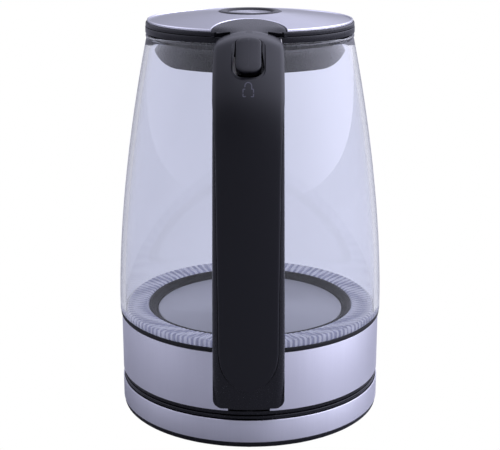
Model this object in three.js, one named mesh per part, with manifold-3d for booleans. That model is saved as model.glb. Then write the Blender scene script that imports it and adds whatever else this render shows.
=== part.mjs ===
// Cordless electric kettle: a glass jug on a round power base.
// Millimetres, +Z up. The handle points to -Y, the pouring lip to +Y.
// Everything is drawn round the jug's own axis, then the whole group is moved along Y so that
// the origin is the middle of the overall box, on the surface that the feet stand on.

import * as THREE from 'three';
import { mergeVertices } from 'three/addons/utils/BufferGeometryUtils.js';
import Module from 'manifold-3d';

const wasm = await Module();
wasm.setup();

// ---------------------------------------------------------------- driving dimensions

const GAP = 0.3; // standing gap between neighbouring pieces
const ROUND = 32; // facets round the large pieces
const SMALL_ROUND = 10; // facets round screws, pins and feet

// power base
const FOOT_STANDS = 1.0; // how far the rubber feet stand below the base
const BAND_R = 78.0; // outside of the jug's steel band
const BASE_R = BAND_R + 0.2; // outside of the base's steel band
const BASE_RING_H = 3.5; // black foot ring under the steel band
const BASE_STEEL_H = 13.4; // height of the base's steel band
const BASE_TOP_H = 2.4; // black top plate above the steel band
const SHEET = 0.8; // steel sheet of both bands
const WALL = 2.4; // moulded walls

// jug
const BAND_H = 34.4; // height of the jug's steel band
const SKIRT_H = 2.7; // black skirt that shows under the steel band
const SEAT_GAP = 0.4; // air between the base and the standing jug
const GASKET_H = 2.6; // black gasket between steel and glass
const GLASS_R = BAND_R + 0.9; // glass outside at its widest, near the bottom
const GLASS_WALL = 3.0; // glass wall
const GLASS_H = 165.4; // glass from gasket to lip
const GLASS_NARROWS = 19.7; // how much smaller the radius is at the lip
const GLASS_CURVE = 1.75; // power of the curve from the widest place to the lip
const LIP_BEAD = 0.9; // bead round the lip
const SPOUT_REACH = 15; // pouring lip, out from the neck
const SPOUT_H = 30; // height over which the pouring lip grows
const SPOUT_HALF_ANGLE = 30; // degrees each side of +Y

// heating plate and light ring
const LIGHT_RING_W = 14; // width of the clear ribbed ring
const LIGHT_RING_IN = GLASS_R - GLASS_WALL - LIGHT_RING_W; // its inner radius
const PLATE_R = LIGHT_RING_IN - 5.6;
const PLATE_T = 1.6;
const LIGHT_RING_H = 6.4;

// collar, lid and hinge
const NECK_R = GLASS_R - GLASS_NARROWS; // glass outside at the lip
const COLLAR_SKIRT_R = NECK_R - GLASS_WALL - 0.6; // outside of the collar inside the neck
const COLLAR_BORE = COLLAR_SKIRT_R - 4.6; // opening that the lid's plug drops into
const COLLAR_RIM_R = NECK_R + 1.0;
const COLLAR_RIM_H = 3.4;
const SKIRT_DROP = 15.9; // rear skirt below the glass lip
const SKIRT_CORNER = 17; // rounded lower corners of the rear skirt
const LID_EDGE_H = 2.4; // black edge of the lid
const LID_DOME = 5.2; // rise of the domed steel cover
const LID_STEEL_R = COLLAR_RIM_R - 1.1;
const LID_SHEET = 0.7;
const LID_PLUG_R = COLLAR_BORE - 1.4;
const LID_PLUG_DROP = 9.2;
const BADGE_R = 17.9;
const BADGE_DISC_R = 13.0;
const HINGE_REACH = COLLAR_RIM_R + 1.1; // hinge axis, out from the jug's axis
const HINGE_BARREL_R = 5.3;
const PIN_R = 1.0;
const TONGUE_HALF = 20.3; // black tongue let into the steel cover
const TONGUE_LENGTH = 24;

// handle
const HANDLE_TOP_W = 36; // width at the head
const HINGE_HALF = HANDLE_TOP_W / 2 - 8; // half length of the hinge barrel
const HANDLE_FOOT_W = 38.6; // width at the lower mount
const HANDLE_REACH = GLASS_R + 38.4; // furthest point of the grip from the jug's axis
const HANDLE_T = 19; // depth of the grip, palm to outside
const HANDLE_EDGE = 6; // rounding of the long edges
const COVER_T = 5.5; // depth of the outer cover
const COVER_SKIN = 2.5;
const HOLLOW_DEPTH = 14; // depth of the channel behind the cover
const HOLLOW_HALF = 12.5;
const COVER_END = 24.6; // rounded lower end of the outer cover, above the steel band's foot
const NOTCH_CLEAR = 0.5; // gap round the lower mount in the steel band
const NOTCH_CORNER = 5.6;
const FOOT_SLOT_HALF = 11.8; // slot in the steel band's foot under the handle

// lid button, latch and power switch
const BUTTON_W = 13;
const BUTTON_L = 25;
const BUTTON_PROUD = 0.6;
const BUTTON_DEPTH = 4;
const BUTTON_CLEAR = 0.5;
const MOAT = 1.6; // groove round the button
const LATCH_W = 2.6;
const LATCH_H = 1.9;
const SWITCH_W = 16;

// ---------------------------------------------------------------- heights worked out from them

const BASE_STEEL_Z = FOOT_STANDS + BASE_RING_H;
const BASE_TOP_Z = BASE_STEEL_Z + BASE_STEEL_H;
const JUG_Z = BASE_TOP_Z + BASE_TOP_H + SEAT_GAP;
const BAND_Z = JUG_Z + SKIRT_H;
const BAND_TOP_Z = BAND_Z + BAND_H;
const DECK_Z = BAND_TOP_Z - GAP;
const GLASS_Z = BAND_TOP_Z + GAP + GASKET_H;
const GLASS_TOP_Z = GLASS_Z + GLASS_H;
const RIM_Z = GLASS_TOP_Z + 0.4;
const RIM_TOP_Z = RIM_Z + COLLAR_RIM_H;
const LID_Z = RIM_TOP_Z + 0.35;
const LID_STEEL_Z = LID_Z + LID_EDGE_H + 0.3;
const HINGE_Z = RIM_TOP_Z - 0.8;
const SEAM_Z = HINGE_Z + 4.3;
const SPAN_Y = (HANDLE_REACH - GLASS_R) / 2;

// ---------------------------------------------------------------- geometry helpers

function solidOf(geometry) {
  const bare = geometry.index ? geometry.toNonIndexed() : geometry.clone();
  bare.deleteAttribute('normal');
  bare.deleteAttribute('uv');
  const merged = mergeVertices(bare, 1e-4);
  const index = merged.index.array;
  const kept = [];
  for (let i = 0; i < index.length; i += 3) {
    const [a, b, c] = [index[i], index[i + 1], index[i + 2]];
    if (a !== b && b !== c && c !== a) {
      kept.push(a, b, c);
    }
  }
  const mesh = new wasm.Mesh({
    numProp: 3,
    vertProperties: new Float32Array(merged.attributes.position.array),
    triVerts: new Uint32Array(kept),
  });
  return new wasm.Manifold(mesh);
}

function geometryOf(solid) {
  const mesh = solid.getMesh();
  const geometry = new THREE.BufferGeometry();
  geometry.setAttribute('position', new THREE.BufferAttribute(mesh.vertProperties, 3));
  geometry.setIndex(new THREE.BufferAttribute(mesh.triVerts, 1));
  geometry.computeVertexNormals();
  return geometry;
}

function cut(solid, ...tools) {
  return tools.reduce((left, tool) => left.subtract(tool), solid);
}

function join(...solids) {
  return solids.reduce((sum, solid) => sum.add(solid));
}

function signedArea(points) {
  let area = 0;
  points.forEach(([x, y], i) => {
    const [u, v] = points[(i + 1) % points.length];
    area += x * v - u * y;
  });
  return area / 2;
}

// A solid of revolution about Z from [radius, z] points; a profile off the axis closes on itself.
function lathe(profile, facets = ROUND) {
  const run = signedArea(profile) > 0 ? profile : [...profile].reverse();
  const points = run.map(([r, z]) => new THREE.Vector2(r, z));
  if (Math.min(...run.map(([r]) => r)) > 0) {
    points.push(points[0].clone());
  }
  return solidOf(new THREE.LatheGeometry(points, facets).rotateX(Math.PI / 2));
}

function ring(inner, outer, z0, z1, facets = ROUND) {
  return lathe([[inner, z0], [outer, z0], [outer, z1], [inner, z1]], facets);
}

function disc(radius, z0, z1, facets = ROUND) {
  return lathe([[0, z0], [radius, z0], [radius, z1], [0, z1]], facets);
}

function box(x0, x1, y0, y1, z0, z1) {
  const geometry = new THREE.BoxGeometry(x1 - x0, y1 - y0, z1 - z0);
  geometry.translate((x0 + x1) / 2, (y0 + y1) / 2, (z0 + z1) / 2);
  return solidOf(geometry);
}

// A round bar along X, centred on x = 0 unless x0 and x1 say otherwise; reach is measured to -Y.
function barX(radius, x0, x1, reach, z, facets = SMALL_ROUND) {
  const geometry = new THREE.CylinderGeometry(radius, radius, x1 - x0, facets);
  geometry.rotateZ(Math.PI / 2);
  geometry.translate((x0 + x1) / 2, -reach, z);
  return solidOf(geometry);
}

function barZ(radius, x, y, z0, z1, facets = SMALL_ROUND) {
  return disc(radius, z0, z1, facets).translate([x, y, 0]);
}

function shapeOf(points) {
  return new THREE.Shape(points.map(([x, y]) => new THREE.Vector2(x, y)));
}

// Side view: [reach, z] points, pushed out across X over the given width.
function sideExtrude(points, width) {
  const geometry = new THREE.ExtrudeGeometry(shapeOf(points), { depth: width, bevelEnabled: false });
  geometry.translate(0, 0, -width / 2);
  const toSide = new THREE.Matrix4().makeBasis(
    new THREE.Vector3(0, -1, 0),
    new THREE.Vector3(0, 0, 1),
    new THREE.Vector3(-1, 0, 0),
  );
  return solidOf(geometry.applyMatrix4(toSide));
}

// Rear view: a shape in x and z, pushed out towards -Y from the near reach to the far reach.
function rearExtrude(shape, near, far) {
  const geometry = new THREE.ExtrudeGeometry(shape, {
    depth: far - near,
    bevelEnabled: false,
    curveSegments: 6,
  });
  geometry.translate(0, 0, near);
  const toRear = new THREE.Matrix4().makeBasis(
    new THREE.Vector3(1, 0, 0),
    new THREE.Vector3(0, 0, 1),
    new THREE.Vector3(0, -1, 0),
  );
  return solidOf(geometry.applyMatrix4(toRear));
}

function planExtrude(shape, z0, z1) {
  const geometry = new THREE.ExtrudeGeometry(shape, {
    depth: z1 - z0,
    bevelEnabled: false,
    curveSegments: 8,
  });
  return solidOf(geometry.translate(0, 0, z0));
}

// A rectangle in a flat plane with its two lower corners rounded.
function tabShape(half, bottom, top, corner) {
  const shape = new THREE.Shape();
  shape.moveTo(-half, top);
  shape.lineTo(-half, bottom + corner);
  shape.absarc(-half + corner, bottom + corner, corner, Math.PI, 1.5 * Math.PI, false);
  shape.lineTo(half - corner, bottom);
  shape.absarc(half - corner, bottom + corner, corner, 1.5 * Math.PI, 2 * Math.PI, false);
  shape.lineTo(half, top);
  return shape;
}

function smooth(points, steps) {
  const curve = new THREE.SplineCurve(points.map(([x, y]) => new THREE.Vector2(x, y)));
  return curve.getPoints(steps).map((point) => [point.x, point.y]);
}

// The same run of points moved sideways: to the left of its direction when distance > 0.
function offset(points, distance) {
  return points.map(([x, y], i) => {
    const [ax, ay] = points[Math.max(i - 1, 0)];
    const [bx, by] = points[Math.min(i + 1, points.length - 1)];
    const length = Math.hypot(bx - ax, by - ay);
    return [x - (distance * (by - ay)) / length, y + (distance * (bx - ax)) / length];
  });
}

function finish(colour, roughness, metalness) {
  return new THREE.MeshStandardMaterial({ color: colour, roughness, metalness });
}

const steel = () => finish('#b9bcc6', 0.32, 1);
const plate = () => finish('#a9abb8', 0.28, 1);
const black = () => finish('#1b1b20', 0.45, 0);
const satinBlack = () => finish('#26262d', 0.38, 0);
const rubber = () => finish('#17171a', 0.8, 0);
const brass = () => finish('#b08d4c', 0.35, 1);
const inner = () => finish('#2a2a2e', 0.6, 0);

const kettle = new THREE.Group();
kettle.position.y = SPAN_Y;

function place(name, solid, material) {
  const mesh = new THREE.Mesh(geometryOf(solid), material);
  mesh.name = name;
  kettle.add(mesh);
}

// ---------------------------------------------------------------- power base

const SCREW_RING = BAND_R - 20; // screws and bosses stand on this circle
const FOOT_RING = BAND_R - 14;
const CONNECTOR_R = 16.5;
const CONNECTOR_TOP_Z = BASE_TOP_Z + BASE_TOP_H + 6.5;
const GLAND_W = 11;
const GLAND_H = 7;

function aroundAxis(count, radius, startDegrees) {
  return Array.from({ length: count }, (unused, i) => {
    const turn = THREE.MathUtils.degToRad(startDegrees + (360 * i) / count);
    return [radius * Math.cos(turn), radius * Math.sin(turn)];
  });
}

const baseScrews = aroundAxis(3, SCREW_RING, 30);
const baseFeet = aroundAxis(4, FOOT_RING, 45);

function glandBlock(clear) {
  const z0 = BASE_STEEL_Z + 1.2 - clear;
  const half = GLAND_W / 2 + clear;
  return box(-half, half, BAND_R - 12 - clear, BASE_R + 2, z0, z0 + GLAND_H + 2 * clear);
}

function buildBase() {
  const floorTop = FOOT_STANDS + WALL;
  const wallOuter = BASE_R - SHEET - GAP;
  const wallInner = wallOuter - WALL;
  const pan = lathe([
    [0, FOOT_STANDS],
    [BASE_R - 1.6, FOOT_STANDS],
    [BASE_R - 0.5, FOOT_STANDS + 1.0],
    [BASE_R - 0.5, BASE_STEEL_Z - GAP],
    [wallOuter, BASE_STEEL_Z - GAP],
    [wallOuter, BASE_TOP_Z - 3],
    [wallInner, BASE_TOP_Z - 3],
    [wallInner, floorTop],
    [0, floorTop],
  ]);
  const screwHoles = baseScrews.map(([x, y]) => barZ(1.9, x, y, 0, floorTop + 1));
  const headRooms = baseScrews.map(([x, y]) => barZ(3.5, x, y, 0, FOOT_STANDS + 1.3));
  const footRooms = baseFeet.map(([x, y]) => barZ(7.3, x, y, 0, FOOT_STANDS + 0.8));
  const panCuts = [...screwHoles, ...headRooms, ...footRooms, glandBlock(GAP)];
  place('base_bottom_cover', cut(pan, ...panCuts), black());

  const band = ring(BASE_R - SHEET, BASE_R, BASE_STEEL_Z, BASE_TOP_Z);
  place('base_steel_band', cut(band, glandBlock(GAP)), steel());

  const lip = BASE_TOP_Z + GAP;
  const top = BASE_TOP_Z + BASE_TOP_H;
  const cap = lathe([
    [CONNECTOR_R + GAP, lip - 2.6],
    [wallInner - GAP, lip - 2.6],
    [wallInner - GAP, lip],
    [BASE_R - 0.8, lip],
    [BASE_R - 0.8, top - 0.8],
    [BASE_R - 1.6, top],
    [BASE_R - 8, top],
    [BASE_R - 10, top - 1.2],
    [CONNECTOR_R + 9, top - 1.2],
    [CONNECTOR_R + 6, top],
    [CONNECTOR_R + GAP, top],
  ]);
  const bosses = baseScrews.map(([x, y]) => barZ(4, x, y, floorTop + GAP, lip - 2));
  const bores = baseScrews.map(([x, y]) => barZ(1.7, x, y, 0, lip - 1));
  place('base_top_plate', cut(join(cap, ...bosses), ...bores), black());

  baseScrews.forEach(([x, y], i) => {
    const head = barZ(3, x, y, FOOT_STANDS + 0.1, FOOT_STANDS + 1.0);
    const shank = barZ(1.3, x, y, FOOT_STANDS + 0.5, lip - 2);
    place(`base_screw_${i + 1}`, join(head, shank), steel());
  });
  baseFeet.forEach(([x, y], i) => {
    place(`base_foot_${i + 1}`, barZ(7, x, y, 0, FOOT_STANDS + 0.5), rubber());
  });

  const hole = barZ(2.6, 0, 0, 0, CONNECTOR_TOP_Z + 1);
  const groove = ring(8.2, 11.2, floorTop + 4, CONNECTOR_TOP_Z + 1, 32);
  const tower = disc(CONNECTOR_R, floorTop + GAP, CONNECTOR_TOP_Z, 40);
  const flange = disc(CONNECTOR_R + 6, floorTop + GAP, floorTop + 3, 40);
  place('base_connector', cut(join(tower, flange), hole, groove), inner());
  place('base_centre_pin', barZ(2.2, 0, 0, floorTop + 2, CONNECTOR_TOP_Z + 5.5), brass());
  place('base_contact_ring', ring(9, 10.4, floorTop + 4.3, CONNECTOR_TOP_Z - 1, 32), brass());

  const face = lathe([[0, 0], [BASE_R, 0], [BASE_R, BASE_TOP_Z], [0, BASE_TOP_Z]]);
  const cordHole = new THREE.CylinderGeometry(3.3, 3.3, 30, 16);
  cordHole.translate(0, BAND_R - 6, 0);
  const bore = solidOf(cordHole).translate([0, 0, BASE_STEEL_Z + 1.2 + GLAND_H / 2]);
  place('cord_gland', cut(glandBlock(0).intersect(face), bore), rubber());
}

// ---------------------------------------------------------------- jug bottom

const SOCKET_BORE = CONNECTOR_R + 0.8;
const COVER_SCREW_RING = PLATE_R + 3.7;
const coverScrews = aroundAxis(3, COVER_SCREW_RING, 90);

function buildJugBottom() {
  const frameOuter = BAND_R - SHEET - GAP;
  const frameInner = frameOuter - WALL;
  const floorTop = BAND_Z + WALL;

  const skirt = lathe([
    [SOCKET_BORE + 4.4, BAND_Z],
    [BAND_R - 12, BAND_Z],
    [BAND_R - 10, JUG_Z],
    [BAND_R - 1.8, JUG_Z],
    [BAND_R - 1.0, JUG_Z + 0.8],
    [BAND_R - 1.0, BAND_Z - GAP],
    [frameInner - GAP, BAND_Z - GAP],
    [frameInner - GAP, floorTop],
    [SOCKET_BORE + 4.4, floorTop],
  ]);
  const screwHoles = coverScrews.map(([x, y]) => barZ(1.9, x, y, JUG_Z, floorTop + 1));
  const headRooms = coverScrews.map(([x, y]) => barZ(3.5, x, y, JUG_Z - 1, BAND_Z + 1.0));
  place('bottom_cover', cut(skirt, ...screwHoles, ...headRooms), black());

  const frame = lathe([
    [frameInner, BAND_Z + GAP],
    [frameOuter, BAND_Z + GAP],
    [frameOuter, DECK_Z],
    [PLATE_R - 6, DECK_Z],
    [PLATE_R - 6, DECK_Z - WALL],
    [frameInner, DECK_Z - WALL],
  ]);
  const bosses = coverScrews.map(([x, y]) => barZ(4, x, y, floorTop + GAP, DECK_Z - 1));
  const bores = coverScrews.map(([x, y]) => barZ(1.7, x, y, 0, DECK_Z - WALL));
  const handleBores = handleScrewBars(1.8, BAND_R - 8, BAND_R);
  place('jug_frame', cut(join(frame, ...bosses), ...bores, ...handleBores), inner());
  coverScrews.forEach(([x, y], i) => {
    const head = barZ(3, x, y, BAND_Z - 0.6, BAND_Z + 0.7);
    const shank = barZ(1.3, x, y, BAND_Z, BAND_Z + 18);
    place(`bottom_screw_${i + 1}`, join(head, shank), steel());
  });

  const band = ring(BAND_R - SHEET, BAND_R, BAND_Z, BAND_TOP_Z);
  const notchHalf = HANDLE_FOOT_W / 2 + NOTCH_CLEAR;
  const notch = tabShape(notchHalf, BAND_Z + 2.2, BAND_TOP_Z + 1, NOTCH_CORNER);
  const [near, far] = [BAND_R - 8, BAND_R + 12];
  const slot = box(-FOOT_SLOT_HALF, FOOT_SLOT_HALF, -far, -near, BAND_Z - 1, BAND_Z + 4);
  place('jug_steel_band', cut(band, rearExtrude(notch, near, far), slot), steel());

  const gasketIn = GLASS_R - GLASS_WALL - GAP;
  const gasket = lathe([
    [gasketIn, BAND_TOP_Z],
    [BAND_R, BAND_TOP_Z],
    [BAND_R + 0.6, BAND_TOP_Z + 0.8],
    [BAND_R + 0.6, GLASS_Z - GAP],
    [gasketIn, GLASS_Z - GAP],
  ]);
  place('glass_gasket', gasket.translate([0, 0, GAP / 2]), rubber());

  const ringOut = GLASS_R - GLASS_WALL - 2 * GAP;
  const ringTop = BAND_TOP_Z + GAP + LIGHT_RING_H;
  const lightRing = lathe([
    [LIGHT_RING_IN, DECK_Z + GAP],
    [gasketIn - GAP, DECK_Z + GAP],
    [gasketIn - GAP, GLASS_Z],
    [ringOut - GAP, GLASS_Z + 0.2],
    [ringOut - GAP, ringTop],
    [LIGHT_RING_IN, ringTop - 1],
  ]);
  place('light_ring', lightRing, finish('#dfe3f2', 0.1, 0));

  const plateZ = DECK_Z + GAP;
  place('heating_plate', disc(PLATE_R, plateZ, plateZ + PLATE_T), plate());
  const seal = lathe([
    [PLATE_R + GAP, plateZ],
    [LIGHT_RING_IN - GAP, plateZ],
    [LIGHT_RING_IN - GAP, ringTop - 1.6],
    [LIGHT_RING_IN - 1.8, ringTop - 1.6],
    [PLATE_R + GAP, plateZ + PLATE_T + 0.5],
  ]);
  place('plate_seal', seal, rubber());
}

// The heating tube is a horseshoe bent under the plate, with both ends turned down.
function buildHeater() {
  const tube = 3.4;
  const bend = 40;
  const z = DECK_Z - tube - GAP;
  const points = [];
  for (let degrees = -60; degrees <= 240; degrees += 12) {
    const turn = THREE.MathUtils.degToRad(degrees);
    points.push(new THREE.Vector3(bend * Math.cos(turn), bend * Math.sin(turn), z));
  }
  const path = new THREE.CatmullRomCurve3(points);
  const section = new THREE.Shape().absarc(0, 0, tube, 0, 2 * Math.PI, false);
  const geometry = new THREE.ExtrudeGeometry(section, {
    steps: 24,
    curveSegments: 5,
    extrudePath: path,
  });
  place('heating_element', solidOf(geometry), plate());

  const socketTop = BAND_Z + 9;
  const socket = ring(SOCKET_BORE, SOCKET_BORE + 4, BAND_Z - 0.4, socketTop, 40);
  place('jug_socket', socket, inner());
  const body = disc(24, socketTop + GAP, DECK_Z - GAP, 40);
  const pinRoom = barZ(3.4, 0, 0, 0, CONNECTOR_TOP_Z + 8);
  place('control_unit', cut(body, pinRoom), finish('#5b4a3a', 0.6, 0));

  const board = ring(PLATE_R + 1.7, BAND_R - 8, DECK_Z - WALL - 4.6, DECK_Z - WALL - 3);
  const notches = coverScrews.map(([x, y]) => barZ(5, x, y, 0, DECK_Z));
  place('light_board', cut(board, ...notches), finish('#2f5d46', 0.5, 0));
}

// ---------------------------------------------------------------- glass

function glassRadius(z) {
  const rise = Math.max(z - GLASS_Z - 3, 0) / (GLASS_H - 3);
  return GLASS_R - GLASS_NARROWS * rise ** GLASS_CURVE;
}

function spoutPush(x, y, z) {
  const away = Math.abs(Math.atan2(x, y)) / THREE.MathUtils.degToRad(SPOUT_HALF_ANGLE);
  const rise = (z - (GLASS_TOP_Z - SPOUT_H)) / SPOUT_H;
  if (away >= 1 || rise <= 0) {
    return 0;
  }
  return SPOUT_REACH * rise * rise * (0.5 + 0.5 * Math.cos(Math.PI * away));
}

function pushSpout(geometry) {
  const position = geometry.attributes.position;
  for (let i = 0; i < position.count; i += 1) {
    const [x, y, z] = [position.getX(i), position.getY(i), position.getZ(i)];
    const radius = Math.hypot(x, y);
    const scale = radius > 0 ? 1 + spoutPush(x, y, z) / radius : 1;
    position.setXY(i, x * scale, y * scale);
  }
  return geometry;
}

function buildGlass() {
  const outer = [];
  const steps = 8;
  for (let i = 0; i <= steps; i += 1) {
    const z = GLASS_Z + ((GLASS_H - 2.6) * i) / steps;
    outer.push([glassRadius(z), z]);
  }
  const lipR = glassRadius(GLASS_TOP_Z);
  const bead = [
    [lipR + LIP_BEAD, GLASS_TOP_Z - 1.8],
    [lipR + LIP_BEAD, GLASS_TOP_Z - 0.8],
    [lipR, GLASS_TOP_Z],
  ];
  const inside = outer.map(([r, z]) => [r - GLASS_WALL, z]).reverse();
  const lipInside = [[lipR - GLASS_WALL + 0.6, GLASS_TOP_Z]];
  const profile = [...outer, ...bead, ...lipInside, ...inside];
  const points = profile.map(([r, z]) => new THREE.Vector2(r, z));
  points.push(points[0].clone());
  const geometry = new THREE.LatheGeometry(points, ROUND).rotateX(Math.PI / 2);
  place('glass_jug', solidOf(pushSpout(geometry)), finish('#dfe4f6', 0.05, 0));
}

// ---------------------------------------------------------------- neck collar and filter

function buildCollar() {
  const skirtZ = GLASS_TOP_Z - SKIRT_DROP;
  const ringZ = GLASS_TOP_Z - 5;
  const collarRing = lathe([
    [COLLAR_BORE, ringZ],
    [COLLAR_SKIRT_R, ringZ],
    [COLLAR_SKIRT_R, RIM_Z],
    [COLLAR_RIM_R, RIM_Z],
    [COLLAR_RIM_R, RIM_TOP_Z - 0.6],
    [COLLAR_RIM_R - 0.6, RIM_TOP_Z],
    [COLLAR_BORE, RIM_TOP_Z],
  ]);
  const drop = ring(COLLAR_SKIRT_R - WALL, COLLAR_SKIRT_R, skirtZ, ringZ + 1);
  const outline = tabShape(COLLAR_SKIRT_R + 0.5, skirtZ, RIM_TOP_Z + 10, SKIRT_CORNER);
  const skirt = drop.intersect(rearExtrude(outline, 6, 70));
  const hingeRoom = barX(HINGE_BARREL_R + GAP, -HINGE_HALF - GAP, HINGE_HALF + GAP,
    HINGE_REACH, HINGE_Z, 32);
  const collar = cut(join(collarRing, skirt), hingeRoom, latchFinger(GAP), filterSlot(GAP));
  place('neck_collar', collar, black());
}

// The filter stands in a slot at the front of the collar and hangs into the neck.
const FILTER_HALF = 17;
function filterSlot(clear) {
  const outer = COLLAR_SKIRT_R - 1.0 + clear;
  const band = ring(outer - 1.8 - 2 * clear, outer, GLASS_TOP_Z - 20 - clear, RIM_TOP_Z - 1);
  return band.intersect(box(-FILTER_HALF - clear, FILTER_HALF + clear, 20, 70, 0, 300));
}

function buildFilter() {
  const frame = filterSlot(0);
  const halfOpening = FILTER_HALF - 2.5;
  const z0 = GLASS_TOP_Z - 17.5;
  const z1 = GLASS_TOP_Z - 6.5;
  const opening = box(-halfOpening, halfOpening, 20, 70, z0, z1);
  place('filter_frame', cut(frame, opening), black());
  const middle = COLLAR_SKIRT_R - 1.9;
  const mesh = ring(middle - 0.3, middle + 0.3, z0 + GAP, z1 - GAP);
  const inset = box(-halfOpening + GAP, halfOpening - GAP, 20, 70, 0, 300);
  place('filter_mesh', mesh.intersect(inset), steel());
}

// ---------------------------------------------------------------- handle

// Height at a share of the way from the steel band's foot to the seam at the lid.
function upHandle(share) {
  return BAND_Z + share * (SEAM_Z - BAND_Z);
}

// Outer line of the handle in side view, from the seam at the lid down to the lower end.
const gripLine = smooth([
  [HINGE_REACH - 6, SEAM_Z - 0.3],
  [HINGE_REACH + 12, SEAM_Z + 0.3],
  [HINGE_REACH + 25, SEAM_Z + 0.3],
  [HANDLE_REACH - 23, SEAM_Z - 2.5],
  [HANDLE_REACH - 15, SEAM_Z - 9],
  [HANDLE_REACH - 8.5, SEAM_Z - 17.5],
  [HANDLE_REACH - 3, SEAM_Z - 29],
  [HANDLE_REACH - 0.4, SEAM_Z - 44],
  [HANDLE_REACH, upHandle(0.695)],
  [HANDLE_REACH - 0.7, upHandle(0.517)],
  [HANDLE_REACH - 2.3, upHandle(0.365)],
  [HANDLE_REACH - 5.3, upHandle(0.241)],
  [HANDLE_REACH - 9.3, upHandle(0.136)],
  [HANDLE_REACH - 14, upHandle(0.03)],
], 26);

const MOUNT_TOP_Z = GLASS_Z + 3.3;
const MOUNT_REACH = HANDLE_REACH - 17;
const UNDERSIDE = 0.345; // slope of the handle's underside at the lower mount
const centreLine = offset(gripLine, -HANDLE_T / 2).filter(([reach]) => reach > HINGE_REACH + 5);

function roundedSection(width, depth, corner) {
  const shape = new THREE.Shape();
  const [x, y] = [width / 2 - corner, depth / 2 - corner];
  shape.absarc(x, y, corner, 0, Math.PI / 2, false);
  shape.absarc(-x, y, corner, Math.PI / 2, Math.PI, false);
  shape.absarc(-x, -y, corner, Math.PI, 1.5 * Math.PI, false);
  shape.absarc(x, -y, corner, 1.5 * Math.PI, 2 * Math.PI, false);
  return shape;
}

// The grip is one rounded section swept down the centre line; the lower mount and the head that
// carries the hinge are blended into it.
function handleSolid() {
  const points = centreLine.map(([reach, z]) => new THREE.Vector3(0, -reach, z));
  const geometry = new THREE.ExtrudeGeometry(roundedSection(HANDLE_FOOT_W, HANDLE_T, HANDLE_EDGE), {
    steps: 18,
    curveSegments: 2,
    extrudePath: new THREE.CatmullRomCurve3(points),
  });
  const back = BAND_R - 6;
  const mount = sideExtrude([
    [back, BAND_Z],
    [MOUNT_REACH, BAND_Z],
    [MOUNT_REACH, MOUNT_TOP_Z + 14],
    [GLASS_R + 14, MOUNT_TOP_Z + 16],
    [GLASS_R + 10, MOUNT_TOP_Z + 9],
    [GLASS_R + 5, MOUNT_TOP_Z + 3.6],
    [GLASS_R + 0.9, MOUNT_TOP_Z],
    [back, MOUNT_TOP_Z],
  ], HANDLE_FOOT_W);
  const headBack = HINGE_REACH + 3.3;
  const head = sideExtrude([
    [headBack, SEAM_Z - 21.2],
    [headBack + 14, SEAM_Z - 21.2],
    [headBack + 21, SEAM_Z - 22.8],
    [headBack + 24.5, SEAM_Z - 27],
    [headBack + 33, SEAM_Z - 20],
    [headBack + 22, SEAM_Z - 8],
    [headBack, SEAM_Z - 8],
  ], HANDLE_TOP_W);
  const crest = gripLine.filter(([reach]) => reach < HINGE_REACH + 22);
  const neckFloor = [[HINGE_REACH + 18, SEAM_Z - 10], [HINGE_REACH - 6, SEAM_Z - 10]];
  const neck = sideExtrude([...crest, ...neckFloor], HANDLE_TOP_W);
  const low = BAND_Z + 2.4;
  const below = sideExtrude([
    [back - 1, low],
    [back - 1, 0],
    [HANDLE_REACH, 0],
    [HANDLE_REACH, low + UNDERSIDE * (HANDLE_REACH - back)],
    [back, low],
  ], 60);
  return cut(join(solidOf(geometry), mount, head, neck), below);
}

// Rear view of the whole handle: a little narrower at the head than at the mount.
function handleOutline() {
  const shape = new THREE.Shape();
  const [top, foot] = [HANDLE_TOP_W / 2, HANDLE_FOOT_W / 2];
  const corner = 4.4;
  const low = BAND_Z + 2.5;
  shape.moveTo(-top, SEAM_Z + 20);
  shape.lineTo(-top, upHandle(0.84));
  shape.lineTo(-foot, upHandle(0.17));
  shape.lineTo(-foot, low + corner);
  shape.absarc(-foot + corner, low + corner, corner, Math.PI, 1.5 * Math.PI, false);
  shape.absarc(foot - corner, low + corner, corner, 1.5 * Math.PI, 2 * Math.PI, false);
  shape.lineTo(foot, upHandle(0.17));
  shape.lineTo(top, upHandle(0.84));
  shape.lineTo(top, SEAM_Z + 20);
  return shape;
}

// Rear view of the outer cover: full width at the head, then tapering to a round end.
function coverOutline(clear) {
  const shape = new THREE.Shape();
  const wide = HANDLE_TOP_W / 2 + 2 + clear;
  const half = HANDLE_TOP_W / 2 - 2.1 + clear;
  const endZ = BAND_Z + COVER_END - clear;
  const roundZ = endZ + 20;
  shape.moveTo(-wide, SEAM_Z + 20);
  shape.lineTo(-wide, upHandle(0.87));
  shape.lineTo(-half - 0.8, upHandle(0.74));
  shape.lineTo(-half, roundZ + 20);
  shape.absellipse(0, roundZ, half - 0.3, roundZ - endZ, Math.PI, 2 * Math.PI, false);
  shape.lineTo(half, roundZ + 20);
  shape.lineTo(half + 0.8, upHandle(0.74));
  shape.lineTo(wide, upHandle(0.87));
  shape.lineTo(wide, SEAM_Z + 20);
  return shape;
}

// The band between two depths below the outer line of the handle.
function depthBand(shallow, deep, width, line = gripLine) {
  const upper = offset(line, -shallow);
  const lower = offset(line, -deep).reverse();
  return sideExtrude([...upper, ...lower], width);
}

// The part of the outer line that the hollow inside the handle follows.
const hollowLine = gripLine.filter(([reach, z]) => reach > HINGE_REACH + 10 && z > BAND_Z + 22);

// The button's seat: the place on the outer line where it sits, and the way it is pushed.
const BUTTON_REACH = HANDLE_REACH - 19;
const seatIndex = gripLine.findIndex(([reach]) => reach > BUTTON_REACH);
const seat = gripLine[seatIndex];
const seatRun = new THREE.Vector2(
  gripLine[seatIndex + 2][0] - gripLine[seatIndex - 2][0],
  gripLine[seatIndex + 2][1] - gripLine[seatIndex - 2][1],
).normalize();

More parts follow.
